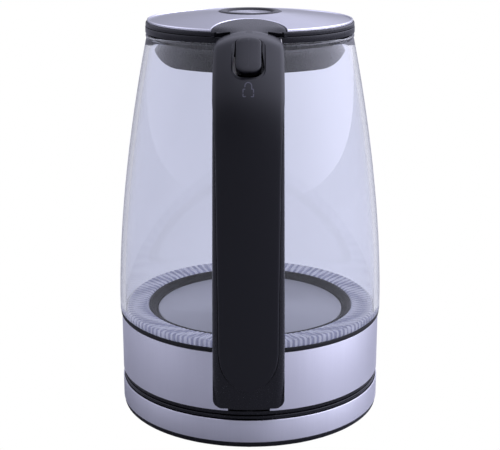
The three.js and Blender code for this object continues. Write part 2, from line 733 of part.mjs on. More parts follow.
function pill(width, length) {
  const r = width / 2;
  const straight = length / 2 - r;
  const shape = new THREE.Shape();
  shape.absarc(0, straight, r, 0, Math.PI, false);
  shape.absarc(0, -straight, r, Math.PI, 2 * Math.PI, false);
  return shape;
}

// A pill-shaped bar through the button's seat, square to the surface; drop moves it downhill.
function seatBar(width, length, low, high, drop = 0) {
  const geometry = new THREE.ExtrudeGeometry(pill(width, length), {
    depth: high - low,
    bevelEnabled: false,
    curveSegments: 6,
  });
  geometry.translate(0, -drop, low);
  const toSeat = new THREE.Matrix4().makeBasis(
    new THREE.Vector3(1, 0, 0),
    new THREE.Vector3(0, seatRun.x, -seatRun.y),
    new THREE.Vector3(0, seatRun.y, seatRun.x),
  );
  toSeat.setPosition(0, -seat[0], seat[1]);
  return solidOf(geometry.applyMatrix4(toSeat));
}

function buildButton() {
  const top = depthBand(-BUTTON_PROUD, BUTTON_DEPTH, 40);
  const cap = seatBar(BUTTON_W, BUTTON_L, -12, 12).intersect(top);
  const stem = seatBar(6, 10, -9, -2.5);
  place('lid_button', join(cap, stem), satinBlack());
}

function switchRoom() {
  const half = SWITCH_W / 2 + 0.5;
  const near = BAND_R + 5;
  return box(-half, half, -near - 19, -near, 0, BAND_Z + 20.5);
}

function buildSwitch() {
  const near = BAND_R + 9;
  const foot = BAND_Z + 5.8;
  const side = [
    [near, foot],
    [near + 13.4, foot + 5.4],
    [near + 13.4, foot + 8.3],
    [near + 5, foot + 8.9],
    [near + 3, foot + 13.6],
    [near, foot + 13.6],
  ];
  place('power_switch', sideExtrude(side, SWITCH_W), black());
}

function handleScrewBars(radius, start, end) {
  const places = [[-12, BAND_Z + 13], [12, BAND_Z + 13], [0, BAND_Z + 26]];
  return places.map(([x, z]) => {
    const geometry = new THREE.CylinderGeometry(radius, radius, end - start, SMALL_ROUND);
    geometry.translate(x, -(start + end) / 2, z);
    return solidOf(geometry);
  });
}

function buildHandle() {
  const room = HINGE_BARREL_R + GAP;
  const hingeRoom = barX(room, -HINGE_HALF - GAP, HINGE_HALF + GAP, HINGE_REACH, HINGE_Z, 32);
  const pinHole = barX(PIN_R + GAP, -HINGE_HALF - 4, HINGE_HALF + 4, HINGE_REACH, HINGE_Z);
  const cheeks = [[-30, -HINGE_HALF - GAP], [HINGE_HALF + GAP, 30]].map(([from, to]) => (
    barX(HINGE_BARREL_R, from, to, HINGE_REACH, HINGE_Z, 24)
  ));
  const lidSide = cut(box(-30, 30, -HINGE_REACH, 0, 0, SEAM_Z + 20), ...cheeks);
  const frameRoom = disc(BAND_R - SHEET, 0, BAND_TOP_Z);
  const glassRoom = disc(GLASS_R + GAP, BAND_TOP_Z, BAND_TOP_Z + 12);
  const rimRoom = disc(COLLAR_RIM_R + GAP, GLASS_TOP_Z - 24, RIM_TOP_Z + 0.3);
  const neckRoom = disc(glassRadius(GLASS_TOP_Z - 24) + 0.8, GLASS_TOP_Z - 26, GLASS_TOP_Z);
  const bandRoom = ring(1, BAND_R + GAP, BAND_TOP_Z - 1, GLASS_Z);
  const whole = handleSolid().intersect(rearExtrude(handleOutline(), 50, HANDLE_REACH + 10));
  const rooms = [hingeRoom, pinHole, lidSide, frameRoom, glassRoom, rimRoom, neckRoom, bandRoom];
  const handle = cut(whole, ...rooms);

  const far = HANDLE_REACH + 10;
  const coverRoom = depthBand(-8, COVER_T + GAP, 60).intersect(rearExtrude(coverOutline(GAP), 50, far));
  const coverBody = depthBand(-8, COVER_T, 60).intersect(rearExtrude(coverOutline(0), 50, far));
  const hollow = depthBand(COVER_SKIN, COVER_T + 1, 2 * HOLLOW_HALF, hollowLine);
  const channel = depthBand(COVER_T - 1, HOLLOW_DEPTH, 2 * HOLLOW_HALF, hollowLine);
  const grown = 2 * (BUTTON_CLEAR + MOAT);
  const moatBar = seatBar(BUTTON_W + grown, BUTTON_L + grown - 1, -12, 12, 2);
  const moat = moatBar.intersect(depthBand(-8, 1.0, 40));
  const shaft = seatBar(BUTTON_W + 2 * BUTTON_CLEAR, BUTTON_L + 2 * BUTTON_CLEAR, -14, 14);
  const coverCuts = [hollow, moat, shaft, latchRoom()];
  place('handle_cover', cut(handle.intersect(coverBody), ...coverCuts), satinBlack());

  const screwBores = handleScrewBars(1.8, BAND_R - 3, BAND_R + 8);
  const shellCuts = [coverRoom, channel, shaft, latchRoom(), switchRoom(), ...screwBores];
  place('handle_shell', cut(handle, ...shellCuts), black());
  const heads = handleScrewBars(3, BAND_R - 8, BAND_R - 6.4);
  const shanks = handleScrewBars(1.4, BAND_R - 7, BAND_R + 7);
  heads.forEach((head, i) => place(`handle_screw_${i + 1}`, join(head, shanks[i]), steel()));
}

// ---------------------------------------------------------------- lid

function domeHeight(radius) {
  return LID_STEEL_Z + LID_DOME * (1 - (radius / LID_STEEL_R) ** 2);
}

function dome(from, to, drop, steps = 4) {
  return Array.from({ length: steps + 1 }, (unused, i) => {
    const radius = from + ((to - from) * i) / steps;
    return [radius, domeHeight(radius) - drop];
  });
}

function tongueShape(clear) {
  const shape = new THREE.Shape();
  const base = -(HINGE_REACH + 12);
  const middle = -(COLLAR_RIM_R - 4.2);
  const half = TONGUE_HALF + clear;
  shape.moveTo(-half, base);
  shape.lineTo(half, base);
  shape.lineTo(half, middle);
  shape.absellipse(0, middle, half, TONGUE_LENGTH + clear, 0, Math.PI, false);
  return shape;
}

function buildLid() {
  const under = LID_SHEET + GAP;
  const core = lathe([
    [0, LID_Z],
    [COLLAR_RIM_R - 0.2, LID_Z],
    [COLLAR_RIM_R - 0.2, LID_STEEL_Z - 0.9],
    [COLLAR_RIM_R - 0.7, LID_STEEL_Z - 0.4],
    [LID_STEEL_R, LID_STEEL_Z - under],
    ...dome(LID_STEEL_R - 1, 0, under).slice(0, -1),
    [0, domeHeight(0) - under],
  ]);
  const domeCap = lathe([
    [0, LID_Z + 1],
    [LID_STEEL_R, LID_Z + 1],
    ...dome(LID_STEEL_R, 0, 0).slice(0, -1),
    [0, domeHeight(0)],
  ]);
  const tongue = planExtrude(tongueShape(0), LID_Z, SEAM_Z + 10).intersect(domeCap);
  const nearHinge = box(-HINGE_HALF, HINGE_HALF, -HINGE_REACH - 6, -HINGE_REACH + 8, 0, SEAM_Z);
  const halfBarrel = box(-HINGE_HALF, HINGE_HALF, -8, 8, -0.6, 12).rotate([-20, 0, 0]);
  const barrelCut = halfBarrel.translate([0, -HINGE_REACH, HINGE_Z]);
  const wholeBarrel = barX(HINGE_BARREL_R, -HINGE_HALF, HINGE_HALF, HINGE_REACH, HINGE_Z, 32);
  const eye = barX(2.2, -HINGE_HALF, HINGE_HALF, HINGE_REACH, HINGE_Z, 24);
  const barrel = join(wholeBarrel.intersect(barrelCut).intersect(nearHinge), eye);
  const pinBore = barX(PIN_R + GAP, -HINGE_HALF - 1, HINGE_HALF + 1, HINGE_REACH, HINGE_Z);
  const cheek = HINGE_BARREL_R + GAP;
  const cheekRooms = [-1, 1].map((side) => {
    const outer = HANDLE_TOP_W / 2 + 0.6;
    const [from, to] = side > 0 ? [HINGE_HALF, outer] : [-outer, -HINGE_HALF];
    return barX(cheek, from, to, HINGE_REACH, HINGE_Z, 24);
  });
  const badgeWell = disc(BADGE_R + GAP, domeHeight(0) - 3.2, domeHeight(0) + 2);
  const screwBores = [-25, 25].map((x) => barZ(1.7, x, 0, LID_Z - 1, LID_Z + 3.2));
  const body = cut(join(core, tongue), ...cheekRooms, badgeWell, ...screwBores);
  place('lid_frame', cut(join(body, barrel), pinBore), black());

  const cover = lathe([
    ...dome(LID_STEEL_R, BADGE_R + GAP, 0),
    ...dome(BADGE_R + GAP, LID_STEEL_R, LID_SHEET),
  ]);
  const tongueRoom = planExtrude(tongueShape(GAP), LID_Z, SEAM_Z + 10);
  place('lid_steel_cover', cut(cover, tongueRoom), steel());

  const wellZ = domeHeight(0) - 3.2 + GAP;
  const badge = lathe([
    [BADGE_DISC_R + GAP, wellZ],
    [BADGE_R, wellZ],
    [BADGE_R, domeHeight(BADGE_R) + 0.2],
    [BADGE_R - 1.2, domeHeight(BADGE_R) + 0.6],
    [BADGE_DISC_R + 0.9, domeHeight(BADGE_R) + 0.3],
    [BADGE_DISC_R + GAP, domeHeight(BADGE_R) - 0.8],
  ], ROUND);
  place('lid_badge_ring', badge, black());
  place('lid_badge_disc', disc(BADGE_DISC_R, wellZ, domeHeight(BADGE_R) - 0.6), steel());

  const plugZ = LID_Z - GAP - LID_PLUG_DROP;
  const sealZ = plugZ + 2.6;
  const plug = lathe([
    [0, plugZ],
    [LID_PLUG_R - 1, plugZ],
    [LID_PLUG_R, plugZ + 1],
    [LID_PLUG_R, sealZ],
    [LID_PLUG_R - 2, sealZ],
    [LID_PLUG_R - 2, sealZ + 2.6],
    [LID_PLUG_R, sealZ + 2.6],
    [LID_PLUG_R, LID_Z - GAP],
    [LID_PLUG_R - 4.4, LID_Z - GAP],
    [LID_PLUG_R - 4.4, plugZ + 2],
    [0, plugZ + 2],
  ]);
  const posts = [-25, 25].map((x) => barZ(4, x, 0, plugZ + 1, LID_Z - GAP));
  const postBores = [-25, 25].map((x) => barZ(1.7, x, 0, plugZ - 1, LID_Z));
  const headRooms = [-25, 25].map((x) => barZ(3.4, x, 0, plugZ - 1, plugZ + 1.2));
  place('lid_plug', cut(join(plug, ...posts), ...postBores, ...headRooms), black());
  place('lid_seal', ring(LID_PLUG_R - 2 + GAP, LID_PLUG_R + 0.8, sealZ + GAP, sealZ + 2.3), rubber());
  [-25, 25].forEach((x, i) => {
    const head = barZ(3, x, 0, plugZ + 0.1, plugZ + 0.9);
    const shank = barZ(1.3, x, 0, plugZ + 0.5, LID_Z + 2.6);
    place(`lid_screw_${i + 1}`, join(head, shank), steel());
  });

  const pinHalf = HINGE_HALF + 3.6;
  place('hinge_pin', barX(PIN_R, -pinHalf, pinHalf, HINGE_REACH, HINGE_Z, 16), steel());
}

// ---------------------------------------------------------------- lid latch and steam tube

const LATCH_X = HANDLE_TOP_W / 2 - 2.2;
const LATCH_Z = RIM_Z + 0.7;
const LATCH_NOSE = COLLAR_BORE - 2.2;
const LATCH_BACK = HINGE_REACH + 14;

function latchFinger(clear, back = LATCH_BACK) {
  const half = LATCH_W / 2 + clear;
  const [z0, z1] = [LATCH_Z - clear, LATCH_Z + LATCH_H + clear];
  return box(LATCH_X - half, LATCH_X + half, -back - clear, -LATCH_NOSE + clear, z0, z1);
}

// The finger slides outwards, so its slot runs on behind it by the latch's travel.
function latchRoom() {
  const travel = 3.4;
  const [z0, z1] = [LATCH_Z - GAP, LATCH_Z + LATCH_H + GAP];
  const slot = latchFinger(GAP, LATCH_BACK + travel);
  const bridge = box(-6.5, LATCH_X, -LATCH_BACK - travel, -LATCH_BACK + 4.3, z0, z1);
  return join(slot, bridge);
}

function buildLatch() {
  const bridge = box(-6, LATCH_X, -LATCH_BACK, -LATCH_BACK + 4, LATCH_Z, LATCH_Z + LATCH_H);
  place('lid_latch', join(latchFinger(0), bridge), finish('#c9cbd2', 0.5, 0));
}

function buildSteamTube() {
  const run = offset(hollowLine, -9.8).slice(4, -1);
  const path = new THREE.CatmullRomCurve3(run.map(([reach, z]) => new THREE.Vector3(-8, -reach, z)));
  const section = new THREE.Shape().absarc(0, 0, 2.4, 0, 2 * Math.PI, false);
  const settings = { steps: 18, curveSegments: 4, extrudePath: path };
  place('steam_tube', solidOf(new THREE.ExtrudeGeometry(section, settings)), finish('#d8d4cc', 0.5, 0));
}

buildBase();
buildJugBottom();
buildHeater();
buildGlass();
buildCollar();
buildFilter();
buildHandle();
buildButton();
buildSwitch();
buildLid();
buildLatch();
buildSteamTube();

export default kettle;
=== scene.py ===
import math

import bmesh
import bpy
from mathutils import Matrix, Vector


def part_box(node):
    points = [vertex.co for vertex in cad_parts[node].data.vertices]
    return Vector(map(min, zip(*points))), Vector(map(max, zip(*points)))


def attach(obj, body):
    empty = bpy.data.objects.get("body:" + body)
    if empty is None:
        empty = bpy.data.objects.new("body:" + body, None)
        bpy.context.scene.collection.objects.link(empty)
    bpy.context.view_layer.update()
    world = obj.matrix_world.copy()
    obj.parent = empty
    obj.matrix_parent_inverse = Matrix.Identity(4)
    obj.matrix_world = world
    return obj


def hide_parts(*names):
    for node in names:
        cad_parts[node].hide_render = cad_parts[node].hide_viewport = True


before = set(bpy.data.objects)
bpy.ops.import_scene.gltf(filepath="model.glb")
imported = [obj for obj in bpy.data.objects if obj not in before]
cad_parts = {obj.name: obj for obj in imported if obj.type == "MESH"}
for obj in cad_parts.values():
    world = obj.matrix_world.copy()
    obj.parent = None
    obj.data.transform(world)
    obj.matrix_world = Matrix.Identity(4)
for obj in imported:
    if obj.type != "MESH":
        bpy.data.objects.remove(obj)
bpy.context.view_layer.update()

# Cordless electric kettle: a clear glass jug with a steel foot band, a black two-part handle,
# a hinged steel lid and a round power base. Shapes are drawn in millimetres round the jug's
# own upright axis, with the handle to -Y, and then settled into the frame in metres.

bl_info = {
    "name": "Electric kettle",
    "version": (1, 0, 0),
    "blender": (4, 5, 0),
    "location": "View3D > Sidebar > Kettle",
    "description": "Builds the visible pieces of a cordless glass kettle and its studio",
    "category": "Object",
}


def span(node):
    """Lowest and highest corner of a frame node, in millimetres."""
    low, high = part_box(node)
    return low * 1000, high * 1000


AXIS_Y = (span("heating_plate")[0].y + span("heating_plate")[1].y) / 2
GLASS_LOW, GLASS_HIGH = span("glass_jug")
BAND_LOW, BAND_HIGH = span("jug_steel_band")
BASE_LOW, BASE_HIGH = span("base_steel_band")
TOP_HIGH = span("base_top_plate")[1]
RING_LOW, RING_HIGH = span("light_ring")
PLATE_LOW, PLATE_HIGH = span("heating_plate")
COLLAR_HIGH = span("neck_collar")[1]
STEEL_LOW, STEEL_HIGH = span("lid_steel_cover")
COVER_LOW = span("handle_cover")[0]

# Measures that more than one piece shares. A reach is a distance from the jug's axis to -Y.
GAP = 0.3  # clearance between neighbouring pieces
SHEET = 0.8  # thickness of the steel bands
BAND_Z = BAND_LOW.z
LID_Z = COLLAR_HIGH.z + 0.35  # underside of the lid's edge
HINGE_REACH, HINGE_Z = COLLAR_HIGH.x + 1.1, COLLAR_HIGH.z - 0.8
SEAM_Z = HINGE_Z + 4.3  # top of the handle's head, level with the tongue
BARREL_R, BARREL_ROOM_R = 5.3, 5.6  # the hinge's round barrels and the room left for them
KNUCKLE_HALF, KNUCKLE_ROOM_HALF = 10, 10.3  # half width of the lid's knuckle and of its room
HANDLE_REACH = AXIS_Y - COVER_LOW.y
MOUNT_HALF, HEAD_HALF = 19.3, 18.0  # half width of the handle at its mount and at its head
HEAD_CROWN, GRIP_CROWN = 36, 48  # radius of the crown across the head and at the top of the grip
HEAD_SHARE = 0.74  # how far up the handle the cover starts to widen into the head
COVER_ROUND = 20  # length of the cover's round lower end
UNDERSIDE = 0.345  # slope of the handle's foot, up towards its outer face
TONGUE_HALF, TONGUE_ROUND = 20.3, 24  # half width of the tongue and length of its round end
TONGUE_Y = 4.2 - COLLAR_HIGH.x  # where the tongue's straight sides end
WELL_R = 18.2  # radius of the well for the lid's badge
RIB_RISE = [-0.75, 0.1, 0.35, 0.4, 0.35, 0.1]  # height across one rib of the clear ring


# ---------------------------------------------------------------- sizes and colours

class KettleSizes(bpy.types.PropertyGroup):
    """Sizes that a user would change."""

    glass_wall: bpy.props.FloatProperty(
        name="Glass wall", description="Thickness of the glass jug's wall",
        default=0.003, min=0.001, unit="LENGTH")
    glass_narrows: bpy.props.FloatProperty(
        name="Glass narrows", description="How much smaller the radius is at the lip",
        default=0.0197, unit="LENGTH")
    glass_curve: bpy.props.FloatProperty(
        name="Glass curve", description="Power of the curve from the widest place to the lip",
        default=1.75, min=1.0)
    spout_reach: bpy.props.FloatProperty(
        name="Spout reach", description="How far the pouring lip stands out from the neck",
        default=0.015, unit="LENGTH")
    spout_half_angle: bpy.props.FloatProperty(
        name="Spout half angle", description="Angle each side of the middle that the lip takes up",
        default=math.radians(30), subtype="ANGLE", unit="ROTATION")
    lid_dome: bpy.props.FloatProperty(
        name="Lid dome", description="Rise of the lid's steel cover",
        default=0.0052, unit="LENGTH")
    handle_depth: bpy.props.FloatProperty(
        name="Handle depth", description="Depth of the grip from palm to outside",
        default=0.019, unit="LENGTH")
    button_width: bpy.props.FloatProperty(
        name="Button width", description="Width of the lid button",
        default=0.013, unit="LENGTH")
    button_length: bpy.props.FloatProperty(
        name="Button length", description="Length of the lid button",
        default=0.025, unit="LENGTH")
    rib_count: bpy.props.IntProperty(
        name="Ribs", description="Ribs round the clear ring over the lamps", default=124, min=12)


class KettleColours(bpy.types.PropertyGroup):
    """Colours that a user would change, as sRGB hex."""

    steel: bpy.props.StringProperty(
        name="Steel", description="Brushed stainless steel", default="#bfbfc5")
    plastic: bpy.props.StringProperty(
        name="Plastic", description="Black polypropylene", default="#06060b")
    rubber: bpy.props.StringProperty(
        name="Rubber", description="Black silicone rubber", default="#0c0c0e")
    glass: bpy.props.StringProperty(
        name="Glass", description="Tint of the borosilicate glass", default="#e9ebf8")
    mark: bpy.props.StringProperty(
        name="Mark", description="Printed mark on the handle", default="#3a3a44")
    floor: bpy.props.StringProperty(
        name="Floor", description="Studio floor", default="#f6f6fa")


def sizes():
    """The scene's own sizes, as the panel shows them."""
    return bpy.context.scene.kettle_sizes


def colours():
    """The scene's own colours, as the panel shows them."""
    return bpy.context.scene.kettle_colours


# ---------------------------------------------------------------- materials

def linear(code):
    """An sRGB hex colour as linear red, green, blue and alpha."""
    parts = [int(code[i:i + 2], 16) / 255 for i in (1, 3, 5)]
    return [p / 12.92 if p <= 0.04045 else ((p + 0.055) / 1.055) ** 2.4 for p in parts] + [1.0]


def add_node(tree, kind, links=(), **settings):
    """Adds one node; settings name its own properties or its inputs, links are (socket, input)."""
    node = tree.nodes.new(kind)
    for key, value in settings.items():
        label = key.replace("_", " ")
        if label in node.inputs:
            node.inputs[label].default_value = value
        elif label.title() in node.inputs:
            node.inputs[label.title()].default_value = value
        else:
            setattr(node, key, value)
    for socket, where in links:
        tree.links.new(socket, node.inputs[where])
    return node


def new_material(name, **shader):
    """A material whose shader sockets are set by name."""
    material = bpy.data.materials.new(name)
    material.use_nodes = True
    tree = material.node_tree
    bsdf = tree.nodes["Principled BSDF"]
    for key, value in shader.items():
        bsdf.inputs[key.replace("_", " ")].default_value = value
    return material, tree, bsdf


def grain(tree, stretch, spacing_mm, detail=3.0):
    """Noise drawn out along the axes with a low stretch; spacing is the real size of one grain."""
    where = add_node(tree, "ShaderNodeTexCoord")
    mapping = add_node(tree, "ShaderNodeMapping", [(where.outputs["Object"], "Vector")])
    mapping.inputs["Scale"].default_value = [1000 / spacing_mm * part for part in stretch]
    return add_node(tree, "ShaderNodeTexNoise", [(mapping.outputs[0], "Vector")],
                    Scale=1.0, Detail=detail, Roughness=0.6)


def vary(tree, noise, low, high):
    """A value that wanders between low and high; noise keeps mostly to its middle range."""
    return add_node(tree, "ShaderNodeMapRange", [(noise.outputs["Fac"], "Value")],
                    From_Min=0.3, From_Max=0.7, To_Min=low, To_Max=high)


def tint(tree, noise, dark, light):
    """A colour that wanders between two close tones."""
    mix = add_node(tree, "ShaderNodeMix", data_type="RGBA")
    tree.links.new(noise.outputs[0], mix.inputs[0])
    mix.inputs[6].default_value = dark
    mix.inputs[7].default_value = light
    return mix.outputs[2]


def relief(tree, bsdf, noise, depth_mm, strength):
    """Fine relief with the real depth of the mark."""
    bump = add_node(tree, "ShaderNodeBump", [(noise.outputs["Fac"], "Height")],
                    Strength=strength, Distance=depth_mm / 1000)
    tree.links.new(bump.outputs[0], bsdf.inputs["Normal"])


def dress(tree, bsdf, pattern, tones, rough, marks=None):
    """Links a pattern to a surface: two tones, a range of roughness and (depth, strength) marks."""
    tree.links.new(tint(tree, pattern, *tones), bsdf.inputs["Base Color"])
    tree.links.new(vary(tree, pattern, *rough).outputs[0], bsdf.inputs["Roughness"])
    if marks:
        relief(tree, bsdf, pattern, *marks)


def shade_of(code, factor):
    """The hex colour, lighter or darker by a factor."""
    return [min(part * factor, 1.0) for part in linear(code)[:3]] + [1.0]


def brushed_stainless(name, stretch, rough=0.34, tone=1.0):
    """Stainless 304 sheet, belt brushed. Fine straight scratches widen the highlight across
    the brushing; drawn 0.7 mm apart, coarser than the real grit, so that they show."""
    material, tree, bsdf = new_material(name, Metallic=1.0, Anisotropic=0.85,
                                        Anisotropic_Rotation=0.25)
    around = add_node(tree, "ShaderNodeTangent", direction_type="RADIAL", axis="Z")
    tree.links.new(around.outputs["Tangent"], bsdf.inputs["Tangent"])
    scratches = grain(tree, stretch, 0.7)
    tones = [shade_of(colours().steel, part * tone) for part in (0.97, 1.03)]
    dress(tree, bsdf, scratches, tones, (rough - 0.02, rough + 0.03), (0.004, 0.1))
    return material


def moulded_polypropylene(name, rough, code=None):
    """Black polypropylene from a lightly etched mould. A deep black with soft highlights, and
    an orange-peel grain of about 0.8 mm that breaks them up a little."""
    code = code or colours().plastic
    material, tree, bsdf = new_material(name, IOR=1.49, Specular_IOR_Level=0.36)
    etch = grain(tree, (1, 1, 1), 0.8)
    dress(tree, bsdf, etch, (shade_of(code, 0.9), shade_of(code, 1.12)),
          (rough - 0.04, rough + 0.05), (0.02, 0.04))
    return material


def moulded_silicone():
    """Silicone rubber, compression moulded. Matt, with a faint talc-like mottle."""
    return moulded_polypropylene("moulded_silicone", 0.62, colours().rubber)


def borosilicate_glass():
    """Borosilicate glass, mould blown and fire polished. Colourless with a cool cast at the
    edges; very slow waves of some 30 mm in the wall bend what stands behind it."""
    material, tree, bsdf = new_material(
        "borosilicate_glass", IOR=1.47, Transmission_Weight=1.0, Roughness=0.0)
    waves = grain(tree, (1, 1, 1), 30, detail=1.0)
    dress(tree, bsdf, waves, (shade_of(colours().glass, 0.98), linear(colours().glass)),
          (0.0, 0.02), (0.15, 0.1))
    return material


def moulded_copolyester():
    """Clear copolyester, injection moulded with ribs. Bright and slightly frosted, with darker
    lines between the ribs; a faint glow stands for the light that the ribs gather."""
    # The emission is a painted glow: the ring is no lamp.
    material, tree, bsdf = new_material(
        "moulded_copolyester", IOR=1.57, Transmission_Weight=0.3, Emission_Strength=0.14)
    bsdf.inputs["Emission Color"].default_value = linear("#e0e2ff")
    flow = grain(tree, (1, 1, 1), 2.5)
    where = add_node(tree, "ShaderNodeTexCoord")
    place = add_node(tree, "ShaderNodeSeparateXYZ", [(where.outputs["Object"], "Vector")])
    turn = add_node(tree, "ShaderNodeMath", [(place.outputs["Y"], 0)], operation="ARCTAN2")
    tree.links.new(place.outputs["X"], turn.inputs[1])
    ribs = add_node(tree, "ShaderNodeMath", [(turn.outputs[0], 0)], operation="MULTIPLY")
    ribs.inputs[1].default_value = sizes().rib_count
    wave = add_node(tree, "ShaderNodeMath", [(ribs.outputs[0], 0)], operation="SINE")
    # Stripes by angle round the ring: painted highlight on the ribs, painted shade between them.
    rib_painted_light_and_shade = add_node(tree, "ShaderNodeMapRange", [(wave.outputs[0], "Value")],
                      From_Min=-0.5, From_Max=0.7)
    tree.links.new(tint(tree, rib_painted_light_and_shade, linear("#8c90a8"), linear("#ffffff")), bsdf.inputs["Base Color"])
    tree.links.new(vary(tree, flow, 0.02, 0.1).outputs[0], bsdf.inputs["Roughness"])
    relief(tree, bsdf, flow, 0.05, 0.15)
    return material


def turned_plate():
    """Stainless 304 plate, finely ground. An even, slightly lavender grey sheen."""
    return brushed_stainless("ground_stainless_plate", (1, 0.08, 1), 0.42)


def zinc_plated_steel():
    """Carbon steel screws and pins, bright zinc plated. Sharp small highlights."""
    material, tree, bsdf = new_material("zinc_plated_steel", Metallic=1.0)
    cast = grain(tree, (1, 1, 1), 0.5)
    dress(tree, bsdf, cast, (linear("#a4a5aa"), linear("#bfc0c6")), (0.2, 0.32))
    return material


def plain_brass():
    """Rolled brass contacts, unlacquered. Warm, with a worn, softer track."""
    material, tree, bsdf = new_material("plain_brass", Metallic=1.0)
    wear = grain(tree, (1, 1, 0.2), 1.2)
    dress(tree, bsdf, wear, (linear("#a3803f"), linear("#c9a55c")), (0.25, 0.42))
    return material


def moulded_plain(name, dark, light, rough):
    """Engineering plastic or board, moulded or pressed: an even matt colour with a mottle."""
    material, tree, bsdf = new_material(name, IOR=1.5)
    mottle = grain(tree, (1, 1, 1), 1.5)
    dress(tree, bsdf, mottle, (linear(dark), linear(light)), (rough - 0.06, rough + 0.06))
    return material


def finish_of(key):
    """The material of that name, made once."""
    makers = {
        "steel_upright": lambda: brushed_stainless("brushed_stainless_upright", (1, 1, 0.02), tone=1.42),
        "steel_across": lambda: brushed_stainless("brushed_stainless_across", (0.02, 1, 1), 0.3),
        "gloss": lambda: moulded_polypropylene("polypropylene_semi_gloss", 0.28),
        "satin": lambda: moulded_polypropylene("polypropylene_satin", 0.36),
        "rubber": moulded_silicone,
        "glass": borosilicate_glass,
        "clear_ring": moulded_copolyester,
        "plate": turned_plate,
        "zinc": zinc_plated_steel,
        "brass": plain_brass,
        # A lighter copy of the steel (tone 1.6): a painted highlight on the edge beads.
        "steel_edge_painted_highlight": lambda: brushed_stainless("stainless_edge_painted_highlight", (1, 1, 1), 0.25, tone=1.6),
        "mesh": lambda: brushed_stainless("woven_stainless_mesh", (1, 1, 1), 0.4),
        "board": lambda: moulded_plain("glass_epoxy_board", "#1f4a32", "#2b5d40", 0.5),
        "thermoset": lambda: moulded_plain("moulded_phenolic", "#4a3a2c", "#5a4838", 0.55),
        "acetal": lambda: moulded_plain("moulded_acetal", "#cfccc6", "#dedcd8", 0.45),
        "print": lambda: moulded_plain("pad_printed_ink", colours().mark, colours().mark, 0.5),
    }
    if key not in bpy.data.materials:
        made = makers[key]()
        made.name = key
        made["finish"] = key
    return bpy.data.materials[key]


# ---------------------------------------------------------------- mesh tools, all in millimetres

def soften(points, radius, steps=4, closed=True):
    """The same outline with every corner rounded off."""
    rounded = []
    last = len(points) - 1
    for i, point in enumerate(points):
        corner = Vector(point)
        before, after = Vector(points[i - 1]), Vector(points[(i + 1) % len(points)])
        if not closed and i in (0, last):
            rounded.append(tuple(corner))
            continue
        share = [min(radius / max((side - corner).length, 1e-6), 0.45) for side in (before, after)]
        start = corner.lerp(before, share[0])
        end = corner.lerp(after, share[1])
        for k in range(steps + 1):
            t = k / steps
            rounded.append(tuple(start.lerp(corner, t).lerp(corner.lerp(end, t), t)))
    return rounded


def skin(loops, ring=False):
    """Faces between loops of points; the loops are closed, and a ring joins the last to the first."""
    bm = bmesh.new()
    rows = [[bm.verts.new(point) for point in loop] for loop in loops]
    following = rows[1:] + (rows[:1] if ring else [])
    for near, far in zip(rows, following):
        for i, corner in enumerate(near):
            j = (i + 1) % len(near)
            bm.faces.new((corner, near[j], far[j], far[i]))
    if not ring:
        bm.faces.new(reversed(rows[0]))
        bm.faces.new(rows[-1])
    bmesh.ops.recalc_face_normals(bm, faces=bm.faces)
    return bm


def lathe(profile, steps=160):
    """A solid of revolution from (radius, z) points; ends on the axis close to a point."""
    bm = bmesh.new()
    rows = []
    for radius, z in profile:
        count = steps if radius > 1e-6 else 1
        rows.append([bm.verts.new((radius * math.cos(2 * math.pi * i / steps),
                                   radius * math.sin(2 * math.pi * i / steps), z))
                     for i in range(count)])
    for near, far in zip(rows, rows[1:] + rows[:1]):
        if len(near) == 1 and len(far) == 1:
            continue
        for i in range(steps):
            j = (i + 1) % steps
            corners = [near[i % len(near)], near[j % len(near)], far[j % len(far)], far[i % len(far)]]
            bm.faces.new(list(dict.fromkeys(corners)))
    bmesh.ops.recalc_face_normals(bm, faces=bm.faces)
    return bm


def block(x0, x1, y0, y1, z0, z1):
    """A box with its sides along the axes."""
    return skin([[(x0, y0, z), (x1, y0, z), (x1, y1, z), (x0, y1, z)] for z in (z0, z1)])


def side_prism(outline, half):
    """Side outline of (reach, z) points, pushed out across the handle's width."""
    return skin([[(x, -reach, z) for reach, z in outline] for x in (-half, half)])


def rear_prism(outline, near, far):
    """Rear outline of (x, z) points, pushed out between two reaches."""
    return skin([[(x, -reach, z) for x, z in outline] for reach in (near, far)])


def hinge_bar(radius, x0, x1, steps=48):
    """A round bar on the line of the hinge pin."""
    turn = [2 * math.pi * i / steps for i in range(steps)]
    return skin([[(x, -HINGE_REACH + radius * math.cos(a), HINGE_Z + radius * math.sin(a))
                  for a in turn] for x in (x0, x1)])


def add_object(name, data):
    """A new object in the scene."""
    made = bpy.data.objects.new(name, data)
    bpy.context.scene.collection.objects.link(made)
    return made


def solid(name, bm):
    """A new object in millimetres, still to be cut and settled."""
    mesh = bpy.data.meshes.new(name)
    bm.to_mesh(mesh)
    bm.free()
    return add_object(name, mesh)


def loosen(piece):
    """The piece's mesh on its own, to join to another or cut from it; the piece is used up."""
    bm = bmesh.new()
    bm.from_mesh(piece.data)
    bpy.data.objects.remove(piece)
    return bm


def turned(name, profile, rounding, corner_steps=3, steps=160):
    """A new lathed object whose section has its corners rounded off."""
    return solid(name, lathe(soften(profile, rounding, corner_steps), steps))


def combine(piece, operation, *tools):
    """Joins or cuts the piece's mesh with other meshes, which are used up."""
    for bm in tools:
        tool = solid("tool", bm)
        step = piece.modifiers.new("step", "BOOLEAN")
        step.operation, step.solver, step.object = operation, "EXACT", tool
        bpy.context.view_layer.update()
        graph = bpy.context.evaluated_depsgraph_get()
        made = bpy.data.meshes.new_from_object(piece.evaluated_get(graph))
        piece.modifiers.remove(step)
        piece.data = made
        bpy.data.objects.remove(tool)
    if not piece.data.polygons:
        raise RuntimeError(f"{piece.name} came out empty")
    return piece


